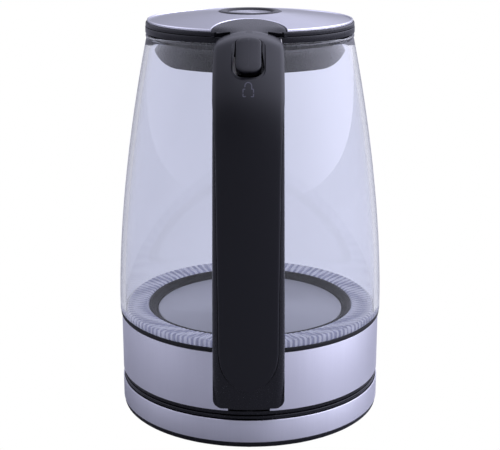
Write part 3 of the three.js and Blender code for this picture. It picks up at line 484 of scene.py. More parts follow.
def coat(mesh, finish, crease):
    """Gives a mesh one finish, smooth up to the crease angle in degrees."""
    mesh.materials.clear()
    mesh.materials.append(finish_of(finish))
    mesh.polygons.foreach_set("material_index", [0] * len(mesh.polygons))
    mesh.polygons.foreach_set("use_smooth", [True] * len(mesh.polygons))
    mesh.set_sharp_from_angle(angle=math.radians(crease))


def settle(piece, finish, body, replaces=(), crease=34):
    """Scales the piece into the frame, gives it its finish and lets it ride its body."""
    mesh = piece.data
    mesh.transform(Matrix.Translation((0, AXIS_Y / 1000, 0)) @ Matrix.Scale(0.001, 4))
    coat(mesh, finish, crease)
    mesh.update()
    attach(piece, body)
    if replaces:
        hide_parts(*replaces)
    return piece


# ---------------------------------------------------------------- power base and jug foot

def band_section(radius, low, high):
    """Section of a steel band as (radius, z), inner side first."""
    return [(radius - SHEET, low), (radius, low), (radius, high), (radius - SHEET, high)]


def build_base():
    """The base's foot ring, its steel band with the cord's slot, and its top plate."""
    radius = BASE_HIGH.x
    low, high = BASE_LOW.z, BASE_HIGH.z
    foot = span("base_bottom_cover")[0].z
    wall, thick = radius - 1.1, 2.4
    pan = [(wall - thick, foot + thick), (wall - thick, foot), (radius - 1.6, foot),
           (radius - 0.5, foot + 1.0), (radius - 0.5, low - GAP), (wall, low - GAP),
           (wall, high - 3), (wall - thick, high - 3)]
    rounded = soften(pan[1:6], 0.35, 3, closed=False)
    ring = solid("base_foot_ring", lathe(rounded + pan[6:] + pan[:1]))
    cord_slot = (-5.8, 5.8, 64, radius + 2, low + 0.9, low + 8.5)
    combine(ring, "DIFFERENCE", block(*cord_slot))
    settle(ring, "gloss", "power_base")

    band = turned("base_band", band_section(radius, low, high), 0.3, steps=256)
    combine(band, "DIFFERENCE", block(*cord_slot))
    settle(band, "steel_upright", "power_base", ["base_steel_band"])

    lip, top = high + GAP, TOP_HIGH.z
    inner = 16.8  # the hole round the connector
    cap = [(inner, lip - 2.6), (wall - 2.7, lip - 2.6), (wall - 2.7, lip), (radius - SHEET, lip),
           (radius - SHEET, top), (radius - 8, top), (radius - 10, top - 1.2), (inner + 9, top - 1.2),
           (inner + 6, top), (inner, top)]
    settle(turned("base_top", cap, 0.6), "gloss", "power_base",
           ["base_top_plate"])


def mirrored(side):
    """The points of the right side, then the same on the left in the opposite order."""
    return side + [(-x, depth) for x, depth in reversed(side)]


def tab_outline(half, low, high, corner):
    """A tall tab in rear view with its two lower corners rounded."""
    turn = (math.pi / 16 * k for k in range(9))
    return mirrored([(half, high)]
                    + [(half - corner + corner * math.cos(a), low + corner - corner * math.sin(a))
                       for a in turn])


def build_jug_foot():
    """The jug's steel band, notched for the handle, and the black rings under and over it."""
    radius, low, high = BAND_HIGH.x, BAND_LOW.z, BAND_HIGH.z
    band = turned("jug_band", band_section(radius, low, high), 0.25, steps=256)
    notch = rear_prism(tab_outline(MOUNT_HALF + 0.5, low + 2.2, high + 4, 5.6), 60, 90)
    foot_slot = block(-11.8, 11.8, -90, -60, low - 2, low + 4)
    combine(band, "DIFFERENCE", notch, foot_slot)
    settle(band, "steel_upright", "jug", ["jug_steel_band"])

    inside = radius - 3.5
    skirt = [(inside - 8.5, low), (inside - 6.5, low - 2.7), (radius - 1, low - 2.7),
             (radius - 1, low - GAP), (inside - GAP, low - GAP), (inside - GAP, low + 2.4),
             (inside - 8.5, low + 2.4)]
    settle(turned("jug_skirt_edge", skirt, 0.5), "gloss", "jug")

    glass = GLASS_HIGH.x
    bottom, top = high + 0.15, GLASS_LOW.z - 0.15
    gasket = [(glass - 3.3, bottom), (radius, bottom), (radius + 0.6, bottom + 0.8),
              (radius + 0.6, top), (glass - 3.3, top)]
    settle(turned("gasket", gasket, 0.4), "rubber", "jug",
           ["glass_gasket"])


# ---------------------------------------------------------------- glass, lamp ring and plate

def glass_radius(z):
    """Outer radius of the jug's glass at a height, without the pouring lip."""
    foot, height = GLASS_LOW.z + 3, GLASS_HIGH.z - GLASS_LOW.z - 3
    rise = max(z - foot, 0) / height
    return GLASS_HIGH.x - sizes().glass_narrows * 1000 * rise ** sizes().glass_curve


def spout_push(x, y, z):
    """How far the pouring lip pushes the glass out at a place."""
    height = 30
    away = abs(math.atan2(x, y)) / sizes().spout_half_angle
    rise = (z - (GLASS_HIGH.z - height)) / height
    if away >= 1 or rise <= 0:
        return 0.0
    return sizes().spout_reach * 1000 * rise ** 2 * (0.5 + 0.5 * math.cos(math.pi * away))


def build_glass():
    """The glass jug: one lathed wall with a rounded bead at the mouth, then the pouring lip."""
    wall = sizes().glass_wall * 1000
    low, high = GLASS_LOW.z, GLASS_HIGH.z
    lip = glass_radius(high)
    rows = 46
    heights = [low + 0.8 + (high - low - 4.2) * i / rows for i in range(rows + 1)]
    outer = [(glass_radius(low) - 0.6, low)] + [(glass_radius(z), z) for z in heights]
    bead = [(lip + 0.2, high - 3.0), (lip + 0.6, high - 2.4), (lip + 0.85, high - 1.7),
            (lip + 0.85, high - 1.0), (lip + 0.5, high - 0.4), (lip - 0.2, high),
            (lip - wall + 0.8, high), (lip - wall, high - 0.6)]
    inner = [(glass_radius(z) - wall, z) for z in reversed(heights)]
    foot = [(glass_radius(low) - wall + 0.6, low)]
    bm = lathe(outer + bead + inner + foot, 224)
    for vert in bm.verts:
        x, y, z = vert.co
        radius = math.hypot(x, y)
        scale = 1 + spout_push(x, y, z) / radius
        vert.co = (x * scale, y * scale, z)
    settle(solid("glass", bm), "glass", "jug", ["glass_jug"], crease=60)


def build_lamp_ring():
    """Clear ring over the lamps, ribbed on top and fluted round its wall, with the steel plate
    inside it and the seal between the two."""
    inner, outer = -RING_LOW.x - 13.4, RING_HIGH.x
    low, top = RING_LOW.z, RING_HIGH.z
    parts = len(RIB_RISE)
    places = sizes().rib_count * parts
    loops = []
    for i in range(places):
        angle = 2 * math.pi * i / places
        rise = RIB_RISE[i % parts]
        out = outer - 0.45 + RIB_RISE[(i + parts // 2) % parts] * 0.6
        section = [(inner, low), (outer - 0.8, low), (outer - 0.8, low + 2.8), (out, low + 3.4),
                   (out, top - 1.1), (out - 0.8, top - 0.5 + rise * 0.3),
                   (out - 2.2, top - 0.7 + rise), (inner + 1.4, top - 1.4 + rise),
                   (inner + 0.3, top - 1.7 + rise * 0.3), (inner, top - 2.4)]
        loops.append([(r * math.cos(angle), r * math.sin(angle), z) for r, z in section])
    settle(solid("lamp_ring", skin(loops, ring=True)), "clear_ring", "jug",
           ["light_ring"], crease=12)

    plate_r, low_z, high_z = PLATE_HIGH.x, PLATE_LOW.z, PLATE_HIGH.z
    disc = [(0, low_z), (plate_r, low_z), (plate_r, high_z - 0.5), (plate_r - 0.5, high_z),
            (0, high_z)]
    settle(solid("plate", lathe(disc)), "plate", "jug", ["heating_plate"])
    lip = RING_HIGH.z - 1.6
    seal = [(plate_r + GAP, low_z), (inner - GAP, low_z), (inner - GAP, lip), (inner - 1.8, lip),
            (inner - 2.6, high_z + 1.2), (plate_r + GAP, high_z + 0.5)]
    settle(turned("plate_rim_seal", seal, 0.4), "rubber", "jug",
           ["plate_seal"])


# ---------------------------------------------------------------- neck collar

def build_collar():
    """Black collar: a rim over the glass lip and a skirt inside the neck on the handle's side."""
    rim_r, top = COLLAR_HIGH.x, COLLAR_HIGH.z
    rim_low = top - 3.4
    skirt_r = rim_r - 4.6
    bore = skirt_r - 4.6
    glass_top = GLASS_HIGH.z
    ring_low = glass_top - 5
    profile = [(bore, ring_low), (skirt_r, ring_low), (skirt_r, rim_low), (rim_r, rim_low),
               (rim_r, top), (bore, top)]
    collar = turned("collar", profile, 0.35, steps=224)
    skirt_low, corner, thick = glass_top - 15.9, 17, 2.4
    half_turn, rows = 84, 96
    loops = []
    for i in range(rows + 1):
        angle = math.radians(-half_turn + 2 * half_turn * i / rows)
        x = skirt_r * math.sin(angle)
        inset = max(abs(x) - (skirt_r + 0.5 - corner), 0)
        low = skirt_low + corner - math.sqrt(max(corner ** 2 - inset ** 2, 0))
        low = min(low, ring_low - 0.2)
        loops.append([(r * math.sin(angle), -r * math.cos(angle), z)
                      for r, z in ((skirt_r - thick, low), (skirt_r, low),
                                   (skirt_r, ring_low + 1), (skirt_r - thick, ring_low + 1))])
    combine(collar, "UNION", skin(loops))
    hinge_room = hinge_bar(BARREL_ROOM_R, -KNUCKLE_ROOM_HALF, KNUCKLE_ROOM_HALF)
    latch_room = block(14.2, 17.4, -80, -bore + 6, rim_low + 0.4, rim_low + 2.9)
    filter_slot = solid("filter_slot", lathe([
        (skirt_r - 3.1, glass_top - 20.3), (skirt_r - 0.7, glass_top - 20.3),
        (skirt_r - 0.7, top - 1), (skirt_r - 3.1, top - 1)]))
    combine(filter_slot, "INTERSECT", block(-17.3, 17.3, 20, 70, 0, 300))
    combine(collar, "DIFFERENCE", hinge_room, latch_room, loosen(filter_slot))
    settle(collar, "gloss", "jug", ["neck_collar"])


# ---------------------------------------------------------------- lid

def dome_z(radius):
    """Height of the lid's steel cover at a distance from the axis."""
    edge = STEEL_HIGH.x
    return STEEL_LOW.z + 0.7 + sizes().lid_dome * 1000 * (1 - (radius / edge) ** 2)


def dome_run(start, end, drop, steps=24):
    """The dome's section between two radii, so far under its surface."""
    return [(start + (end - start) * i / steps, dome_z(start + (end - start) * i / steps) - drop)
            for i in range(steps + 1)]


def tongue_outline(clear):
    """Plan of the black tongue let into the steel: straight sides, then a half ellipse."""
    half = TONGUE_HALF + clear
    curve = [(half * math.cos(a), TONGUE_Y + (TONGUE_ROUND + clear) * math.sin(a))
             for a in (math.pi * k / 48 for k in range(49))]
    back = -(HINGE_REACH + 12)
    return [(half, back)] + curve + [(-half, back)]


def crown_drop(x, radius):
    """How far a crown of that radius has dropped at x off the middle."""
    x = min(abs(x), radius * 0.95)
    return radius - math.sqrt(radius ** 2 - x ** 2)


def tongue_prism():
    """The tongue's plan with a little clearance, tall enough to cut the steel above it."""
    return skin([[(x, y, z) for x, y in tongue_outline(0.15)] for z in (LID_Z - 3, SEAM_Z + 12)])


def build_tongue():
    """Top of the tongue: it lies on the dome, and near the hinge takes up the handle's crown."""
    back, rows, columns = -HINGE_REACH, 28, 24
    crown_fade = 13  # how far from the hinge the crown has gone
    rolled = 0.93  # share of the half width where the edge starts to roll down
    loops = []
    for k in range(rows + 1):
        t = k / rows
        y = back + (TONGUE_Y + 23.7 - back) * t
        run = max(y - TONGUE_Y, 0) / TONGUE_ROUND
        half = 20.15 * math.sqrt(max(1 - run ** 2, 0.0006))
        near = max(0.0, 1 - (y - back) / crown_fade) ** 2
        top = []
        for i in range(columns + 1):
            x = half * (1 - 2 * i / columns)
            edge = max(0.0, (abs(x) / half - rolled) / (1 - rolled))
            radius = math.hypot(x, y)
            z = dome_z(min(radius, 61)) + 0.3 - 0.45 * edge ** 2
            top.append((x, y, max(z - near * crown_drop(x, HEAD_CROWN), LID_Z + 0.3)))
        loops.append(top + [(-half, y, LID_Z), (half, y, LID_Z)])
    return skin(loops)


def crowned_slab(half, under, near, far):
    """A slab across the hinge with the head's crown on top, so far under the seam."""
    crest = [(x / 2, SEAM_Z - under - crown_drop(x / 2, HEAD_CROWN))
             for x in range(2 * half, -2 * half - 1, -1)]
    return rear_prism([(-half, SEAM_Z - 20), (half, SEAM_Z - 20)] + crest, near, far)


def knuckle():
    """The lid's half of the hinge: the front of a barrel, cut to the head's crown."""
    half_room = block(-12, 12, -8, 8, -0.6, 12)
    half_room.transform(Matrix.Translation((0, -HINGE_REACH, HINGE_Z))
                        @ Matrix.Rotation(math.radians(-20), 4, "X"))
    barrel = solid("knuckle", hinge_bar(BARREL_R, -KNUCKLE_HALF, KNUCKLE_HALF))
    combine(barrel, "INTERSECT", half_room, crowned_slab(11, 0.05, HINGE_REACH - 8, HINGE_REACH + 8))
    return loosen(barrel)


def build_lid_body(rim_r, steel_r, step):
    """The black part: its edge, the tongue with the knuckle, and the well for the badge."""
    under = 1.0
    edge = [(rim_r - 0.2, LID_Z), (rim_r - 0.2, step - 0.9), (rim_r - 0.7, step - 0.4)]
    core = ([(0, LID_Z)] + soften(edge, 0.7, 4, closed=False)
            + [(steel_r, step - under)] + dome_run(steel_r - 1, 0, under))
    body = solid("lid_black_body", lathe(core, 224))
    cheek_rooms = [hinge_bar(BARREL_ROOM_R, *ends)
                   for ends in ((-18.6, -KNUCKLE_HALF), (KNUCKLE_HALF, 18.6))]
    behind = block(-30, 30, -90, -HINGE_REACH, LID_Z - 10, SEAM_Z + 20)
    combine(body, "UNION", build_tongue())
    combine(body, "DIFFERENCE", *cheek_rooms, behind)
    combine(body, "UNION", knuckle(), hinge_bar(2.2, -KNUCKLE_HALF, KNUCKLE_HALF))
    low, high = dome_z(0) - 3.2, dome_z(0) + 2
    combine(body, "DIFFERENCE", lathe([(0, low), (WELL_R, low), (WELL_R, high), (0, high)]))
    settle(body, "gloss", "lid", ["lid_frame"])


def build_lid_steel(steel_r, step):
    """The domed steel cover and the bright beads along its edge and round the tongue."""
    rolled = [(steel_r, step - 0.7), (steel_r + 0.05, step - 0.1), (steel_r - 0.2, step + 0.25),
              (steel_r - 0.75, dome_z(steel_r - 0.75) + 0.3),
              (steel_r - 1.0, dome_z(steel_r - 1.0) + 0.02)]
    sheet = rolled + dome_run(steel_r - 1.4, WELL_R, 0) + dome_run(WELL_R, steel_r - 0.6, 0.7)
    cover = solid("lid_steel", lathe(sheet, 256))
    combine(cover, "DIFFERENCE", tongue_prism())
    settle(cover, "steel_across", "lid", ["lid_steel_cover"])
    # The beads take the lightened steel, a painted highlight.
    turn = [math.pi * i / 4 for i in range(8)]
    bead = [(steel_r - 0.5 + 0.55 * math.cos(a), step + 0.4 + 0.6 * math.sin(a)) for a in turn]
    edge = solid("lid_steel_edge", lathe(bead, 256))
    combine(edge, "DIFFERENCE", tongue_prism())
    settle(edge, "steel_edge_painted_highlight", "lid")
    rim = [Vector(spot) for spot in tongue_outline(0.5)[2:-2]]
    loops = []
    for i, spot in enumerate(rim):
        run = (rim[min(i + 1, len(rim) - 1)] - rim[max(i - 1, 0)]).normalized()
        z = max(dome_z(spot.length), step + 0.3) + 0.1
        loops.append([(spot.x - run.y * 0.4 * math.cos(a), spot.y + run.x * 0.4 * math.cos(a),
                       z + 0.35 * math.sin(a)) for a in turn])
    settle(solid("tongue_edge", skin(loops)), "steel_edge_painted_highlight", "lid")


def build_lid():
    """The lid's black body, steel cover, and plain badge in a black ring."""
    steel_r, step = STEEL_HIGH.x, STEEL_LOW.z + 0.7
    build_lid_body(COLLAR_HIGH.x, steel_r, step)
    build_lid_steel(steel_r, step)
    well_z, ring_in, ring_out = dome_z(0) - 2.9, 13.3, WELL_R - GAP
    shoulder = dome_z(ring_out)
    ring = [(ring_in, well_z), (ring_out, well_z), (ring_out, shoulder + 0.2),
            (ring_out - 1, shoulder + 0.7), (ring_in + 1.1, shoulder + 0.5),
            (ring_in, shoulder - 0.6)]
    settle(turned("badge_ring", ring, 0.5, 4), "gloss", "lid",
           ["lid_badge_ring"])
    disc_r = ring_in - GAP
    disc = [(0, well_z), (disc_r, well_z), (disc_r, shoulder - 0.9),
            (disc_r - 0.4, shoulder - 0.6), (0, shoulder - 0.3)]
    settle(solid("badge_disc", lathe(disc)), "steel_across", "lid",
           ["lid_badge_disc"])


# ---------------------------------------------------------------- handle

def up_handle(share):
    """Height of a place so far up the handle, from nought at the band to one at the seam."""
    return BAND_Z + share * (SEAM_Z - BAND_Z)


def grip_share(z):
    """How far up the handle a height is."""
    return (z - BAND_Z) / (SEAM_Z - BAND_Z)


def progress(value, start, length):
    """How far a value has got along a length, held between nought and one."""
    return min(max((value - start) / length, 0), 1)


def eased(low, high, t):
    """From low to high with a soft start and end."""
    return low + (high - low) * t * t * (3 - 2 * t)


def grip_points():
    """Outer line of the handle in side view as (reach, z), from the hinge to the lower end."""
    hinge, seam, reach = HINGE_REACH, SEAM_Z, HANDLE_REACH
    return [(hinge - 6, seam - 0.3), (hinge + 12, seam + 0.3), (hinge + 25, seam + 0.3),
            (reach - 23, seam - 2.5), (reach - 15, seam - 9), (reach - 8.5, seam - 17.5),
            (reach - 3, seam - 29), (reach - 0.4, seam - 44), (reach, up_handle(0.695)),
            (reach - 0.7, up_handle(0.517)), (reach - 2.3, up_handle(0.365)),
            (reach - 5.3, up_handle(0.241)), (reach - 9.3, up_handle(0.136)),
            (reach - 14, up_handle(0.03))]


def spline(points, per_part=40):
    """A smooth line through the points, each part bent by its neighbours."""
    run = []
    last = len(points) - 1
    for i in range(last):
        p0, p1, p2, p3 = (Vector(points[min(max(i + k, 0), last)]) for k in (-1, 0, 1, 2))
        for k in range(per_part):
            t = k / per_part
            v0, v1 = (p2 - p0) * 0.5, (p3 - p1) * 0.5
            run.append(p1 + v0 * t + (p2 * 3 - p1 * 3 - v0 * 2 - v1) * t * t
                       + (p1 * 2 - p2 * 2 + v0 + v1) * t ** 3)
    return run + [Vector(points[last])]


class GripLine:
    """The handle's outer line by length along it, with the inward direction at each place."""

    def __init__(self):
        self.points = spline(grip_points())
        self.lengths = [0.0]
        for a, b in zip(self.points, self.points[1:]):
            self.lengths.append(self.lengths[-1] + (b - a).length)
        self.total = self.lengths[-1]

    def at(self, length):
        """The point at a length along the line."""
        length = min(max(length, 0.0), self.total)
        low, high = 0, len(self.lengths) - 1
        while high - low > 1:
            middle = (low + high) // 2
            if self.lengths[middle] <= length:
                low = middle
            else:
                high = middle
        part = (length - self.lengths[low]) / max(self.lengths[high] - self.lengths[low], 1e-9)
        return self.points[low].lerp(self.points[high], part)

    def inward(self, length):
        """The direction from the outer face towards the palm."""
        ahead, behind = self.at(length + 1.5), self.at(length - 1.5)
        run = (ahead - behind).normalized()
        return Vector((run.y, -run.x))

    def length_where(self, test):
        """The length at which the line first passes a test."""
        step = next(i for i, point in enumerate(self.points) if test(point))
        return self.lengths[step]

    def place(self, x, depth, length):
        """A point at a depth under the crowned outer face, x off the middle."""
        point, inward = self.at(length), self.inward(length)
        radius = crown_radius(point.y)
        fade = max(1 - max(depth, 0) / (sizes().handle_depth * 1000), 0)
        depth += crown_drop(x, radius) * fade
        return (x, -(point.x + inward.x * depth), point.y + inward.y * depth)


def crown_radius(z):
    """The outer face is strongly crowned at the head and flatter down the grip."""
    grip_top = 0.8
    share = grip_share(z)
    if share > grip_top:
        return eased(GRIP_CROWN, HEAD_CROWN, progress(share, grip_top, 0.17))
    return GRIP_CROWN + 40 * (grip_top - share)


def shell_half(z):
    """Half width of the handle: a little narrower at the head than at the mount."""
    return MOUNT_HALF + (HEAD_HALF - MOUNT_HALF) * progress(grip_share(z), 0.17, 0.67)


def cover_half(z):
    """Half width of the outer cover: the whole head, then narrower, then a round end."""
    share, round_run = grip_share(z), COVER_LOW.z + COVER_ROUND - z
    if share > HEAD_SHARE:
        return 16.7 + 1.4 * progress(share, HEAD_SHARE, 0.13)
    if round_run > 0:
        return 15.7 * math.sqrt(max(1 - (round_run / COVER_ROUND) ** 2, 0.0004))
    return 15.9 + 0.8 * progress(share, 0.35, 0.39)


def arc(cx, cy, radius, start, end, steps):
    """Points on a circle from one angle to another, with nought towards the outer face."""
    return [(cx + radius * math.sin(a), cy - radius * math.cos(a))
            for a in (start + (end - start) * k / steps for k in range(steps + 1))]


def shell_section(z):
    """Section of the inner shell as (x, depth): a recess for the cover and a rounded palm."""
    half, deep = shell_half(z), sizes().handle_depth * 1000
    recess = min(cover_half(z) + GAP, half - 0.05)
    if z < COVER_LOW.z - 0.2:
        recess = 0.4
    corner, top = 5.0, 1.0
    flat = half - corner
    first = math.asin(min(max((recess - flat) / corner, 0), 1))
    rim = arc(flat, top + corner, corner, first, math.pi / 2, 7)
    floor = 5.8 if z >= COVER_LOW.z - 0.2 else rim[0][1] + 0.02
    right = [(recess, floor), (recess, rim[0][1])] + rim
    palm = arc(half - 6, deep - 6, 6, math.pi / 2, math.pi, 7)
    return mirrored(right + palm)


def cover_section(z):
    """Section of the outer cover as (x, depth), with its long edges rounded."""
    half = cover_half(z)
    edge = min(1.3 + 1.2 * progress(grip_share(z), HEAD_SHARE, 0.13), half * 0.6)
    corner = arc(half - edge, edge, edge, 0, math.pi / 2, 6)
    across = [((half - edge) * k / 6, 0) for k in range(1, 6)]
    return [(0, 0)] + mirrored(across + corner + [(half, 5.5)])


def swept(line, section, start, end):
    """A section carried along the grip, changing with the height it is at; the steps are
    finest at the cover's round end."""
    length, loops = start, []
    while length < end:
        loops.append(length)
        z = line.at(length).y
        length += 0.5 if COVER_LOW.z - 1.5 < z < COVER_LOW.z + 9 else 2.2
    loops.append(end)
    return skin([[line.place(x, depth, at) for x, depth in section(line.at(at).y)]
                 for at in loops])


def pill_loop(half_width, half_length, corner, steps=8):
    """A long rounded rectangle, from its right side over the upper end and back."""
    corner = min(corner, half_width, half_length)
    x, u = half_width - corner, half_length - corner
    quarter = [(corner * math.cos(a), corner * math.sin(a))
               for a in (math.pi / 2 * k / steps for k in range(steps + 1))]
    right = [(x + px, u + pu) for px, pu in quarter]
    left = [(-x - pu, u + px) for px, pu in quarter]
    return right + left + [(-px, -pu) for px, pu in right + left]


def button_length(line):
    """Where along the grip the middle of the button sits."""
    return line.length_where(lambda point: point.x > HANDLE_REACH - 18.9)


def pill_block(line, grow, levels, slide=0.0):
    """A pill-shaped block on the head; levels are (inset, depth), depth may be a rule along it."""
    half_w = sizes().button_width * 1000 / 2 + grow
    half_l = sizes().button_length * 1000 / 2 + grow
    corner = 5.0 + grow * 0.7
    seat = button_length(line)
    loops = []
    for inset, depth in levels:
        loop = []
        for x, u in pill_loop(max(half_w - inset, 0.15), max(half_l - inset, 0.3),
                              corner - inset * 0.6):
            along = u - slide
            down = depth(-along) if callable(depth) else depth
            loop.append(line.place(x, down, seat - along))
        loops.append(loop)
    return skin(loops)


def groove_depth(along):
    """The groove is deepest under the button's lower end and fades out at its upper end."""
    return eased(-0.6, 1.4, progress(along, -9, 9))


def handle_rooms():
    """What the handle leaves free at its head: the hinge, the lid, the collar and the glass."""
    past = 36  # well beyond the handle's sides
    cheeks = [hinge_bar(BARREL_R, *ends)
              for ends in ((-past, -KNUCKLE_ROOM_HALF), (KNUCKLE_ROOM_HALF, past))]
    lid_side = solid("lid_side", block(-30, 30, -HINGE_REACH, 10, 150, SEAM_Z + 20))
    combine(lid_side, "DIFFERENCE", *cheeks)
    rim, neck_low, neck_high = COLLAR_HIGH.x + GAP, 199, GLASS_HIGH.z - 2
    neck = lathe([(0, neck_low), (glass_radius(neck_low) + 0.6, neck_low),
                  (glass_radius(neck_high) + 0.6, neck_high), (rim, neck_high),
                  (rim, LID_Z), (0, LID_Z)])
    knuckle_room = hinge_bar(BARREL_ROOM_R, -KNUCKLE_ROOM_HALF, KNUCKLE_ROOM_HALF)
    return [knuckle_room, loosen(lid_side), neck]


def mount_block(back, top):
    """The handle's mount over the steel band, with rounded lower corners and a curved rise."""
    glass, front, low = GLASS_HIGH.x, HANDLE_REACH - 16, BAND_Z - 2
    side = [(back, low), (front, low), (front, top + 14), (glass + 14.5, top + 15),
            (glass + 10, top + 7.5), (glass + 5, top + 2.6), (glass + 0.9, top), (back, top)]
    mount = solid("mount", side_prism(side, MOUNT_HALF))
    combine(mount, "INTERSECT",
            rear_prism(tab_outline(MOUNT_HALF, BAND_Z + 2.5, top + 40, 4.6), 50, 140))
    return loosen(mount)


def head_blocks():
    """The block under the head behind the hinge, and the one between the hinge's cheeks."""
    back, seam = HINGE_REACH + 3.3, SEAM_Z
    side = [(back, seam - 21.2), (back + 14, seam - 21.2), (back + 20, seam - 22.4),
            (back + 24, seam - 26), (back + 27, seam - 22), (back + 16, seam - 9),
            (back, seam - 9)]
    return [side_prism(side, 17.9), crowned_slab(18, 0.15, HINGE_REACH - BARREL_R, HINGE_REACH + 4)]


def foot_rooms(back, low):
    """What the handle's foot leaves free: the ground under it, the switch's bay and the jug."""
    far, band, glass, band_top = HANDLE_REACH + 5, BAND_HIGH.x, GLASS_HIGH.x, BAND_HIGH.z
    below = [(back - 1, low), (back - 1, -20), (far, -20),
             (far, low + UNDERSIDE * (far - back)), (back, low)]
    jug = [(0, 0), (band - SHEET, 0), (band - SHEET, band_top), (band + GAP, band_top),
           (band + GAP, GLASS_LOW.z - 0.3), (glass + GAP, GLASS_LOW.z - 0.3),
           (glass + GAP, band_top + 12), (0, band_top + 12)]
    return [side_prism(below, 40), block(-8.5, 8.5, -band - 24, -band - 5, 0, BAND_Z + 20.5),
            lathe(jug)]


def build_handle():
    """The inner shell, from the hinge to the mount, and the outer cover let into it."""
    line = GripLine()
    back, low = BAND_HIGH.x - 6, BAND_Z + 2.4
    start = line.length_where(lambda point: point.x > HINGE_REACH + 7)
    shell = solid("handle_inner", swept(line, shell_section, start, line.total - 0.5))
    neck = swept(line, lambda z: [(x * 17.85 / HEAD_HALF, depth) for x, depth in head_core(z)],
                 0.0, start + 3)
    combine(shell, "UNION", mount_block(back, GLASS_LOW.z + 3.3), *head_blocks(), neck)
    corners = tab_outline(MOUNT_HALF, low, 400, 5.2)
    sheared = skin([[(x, -reach, z + UNDERSIDE * (reach - back)) for x, z in corners]
                    for reach in (40, 160)])
    combine(shell, "INTERSECT", sheared)
    shaft = pill_block(line, 0.5, [(0, -6), (0, 9.5)])
    combine(shell, "DIFFERENCE", *foot_rooms(back, low), *handle_rooms(), shaft)
    settle(shell, "gloss", "jug", ["handle_shell"], crease=30)

    cover_end = line.length_where(
        lambda point: point.x > HINGE_REACH + 20 and point.y < COVER_LOW.z + 0.1)
    cover = solid("handle_outer", swept(line, cover_section, 0.0, cover_end))
    moat = pill_block(line, 2.1, [(0, -6), (0, groove_depth),
                                  (0.5, lambda along: groove_depth(along) + 0.5)], 2)
    shaft = pill_block(line, 0.45, [(0, -6), (0, 1), (-1, 2), (-2.2, 5), (-2.6, 8)])
    combine(cover, "DIFFERENCE", *handle_rooms(), moat, shaft)
    settle(cover, "satin", "jug", ["handle_cover"], crease=30)


def head_core(z):
    """Section under the cover at the head, down to where the head's own block starts."""
    half = shell_half(z)
    return mirrored([(half - 0.4, 5.8), (half, 6.4), (half, 14.5), (half - 1, 15.5)])


def build_button():
    """The lid button: a pill with a rounded edge, following the head's crown."""
    line = GripLine()
    levels = [(0.6, 4.0), (0, 3.6), (0, 0.15), (0.12, -0.2), (0.4, -0.45), (0.9, -0.6),
              (2.2, -0.66), (4.0, -0.68), (5.6, -0.68)]
    settle(solid("button", pill_block(line, 0, levels)), "satin", "lid_button",
           ["lid_button"], crease=50)


def mark_strip(line, path, half, seat):
    """A printed line a little proud of the cover; path is (x, distance down from the seat)."""
    loops = []
    for i, (x, down) in enumerate(path):
        before, after = path[max(i - 1, 0)], path[min(i + 1, len(path) - 1)]
        run = Vector((after[0] - before[0], after[1] - before[1])).normalized()
        side = Vector((-run.y, run.x)) * half
        loop = [(x + side.x, down + side.y, -0.03), (x - side.x, down - side.y, -0.03),
                (x - side.x, down - side.y, 0.05), (x + side.x, down + side.y, 0.05)]
        loops.append([line.place(px, depth, seat + pd) for px, pd, depth in loop])
    return skin(loops)


def build_marks():
    """A plain open-padlock sign, printed on the cover below the button."""
    line = GripLine()
    seat = button_length(line)
    top = 17.6
    half, bow = 2.6, 1.7
    corners = [(-half, top + 3.6), (half, top + 3.6), (half, top + 7.4), (-half, top + 7.4)]
    edges = [[corners[i - 1], corners[i]] for i in range(4)]
    shackle = [(bow, top + 3.6), (bow, top + 2.0)]
    shackle += [(bow * math.cos(a), top + 2.0 - 1.9 * math.sin(a))
                for a in (math.pi * k / 10 for k in range(1, 11))]
    shackle += [(-bow, top + 2.6)]
    for i, path in enumerate(edges + [shackle]):
        mark = solid(f"lock_sign_{i + 1}", mark_strip(line, path, 0.24, seat))
        settle(mark, "print", "jug")


# ---------------------------------------------------------------- pieces that keep their frame mesh

KEPT = {
    "gloss": ["base_bottom_cover", "bottom_cover", "base_connector", "jug_frame", "jug_socket",
              "filter_frame", "lid_plug", "power_switch"],
    "rubber": ["base_foot_1", "base_foot_2", "base_foot_3", "base_foot_4", "cord_gland", "lid_seal"],
    "zinc": ["base_screw_1", "base_screw_2", "base_screw_3", "bottom_screw_1", "bottom_screw_2",
             "bottom_screw_3", "handle_screw_1", "handle_screw_2", "handle_screw_3", "hinge_pin",
             "lid_screw_1", "lid_screw_2"],
    "brass": ["base_centre_pin", "base_contact_ring"],
    "plate": ["heating_element"],
    "mesh": ["filter_mesh"],
    "board": ["light_board"],
    "thermoset": ["control_unit"],
    "acetal": ["lid_latch", "steam_tube"],
}


def finish_kept():
    """Gives the inner pieces, which keep the frame's shapes, their finishes."""
    for key, names in KEPT.items():
        for name in names:
            coat(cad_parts[name].data, key, 30)


# ---------------------------------------------------------------- studio

def lobe(tree, ray, toward, sharpness, strength):
    """A soft patch of light in the tent's wall, brightest in one direction."""
    dot = add_node(tree, "ShaderNodeVectorMath", [(ray, 0)], operation="DOT_PRODUCT")
    dot.inputs[1].default_value = Vector(toward).normalized()
    front = add_node(tree, "ShaderNodeMath", [(dot.outputs["Value"], 0)], operation="MAXIMUM")
    front.inputs[1].default_value = 0.0
    sharp = add_node(tree, "ShaderNodeMath", [(front.outputs[0], 0)], operation="POWER")
    sharp.inputs[1].default_value = sharpness
    scaled = add_node(tree, "ShaderNodeMath", [(sharp.outputs[0], 0)], operation="MULTIPLY")
    scaled.inputs[1].default_value = strength
    return scaled.outputs[0]


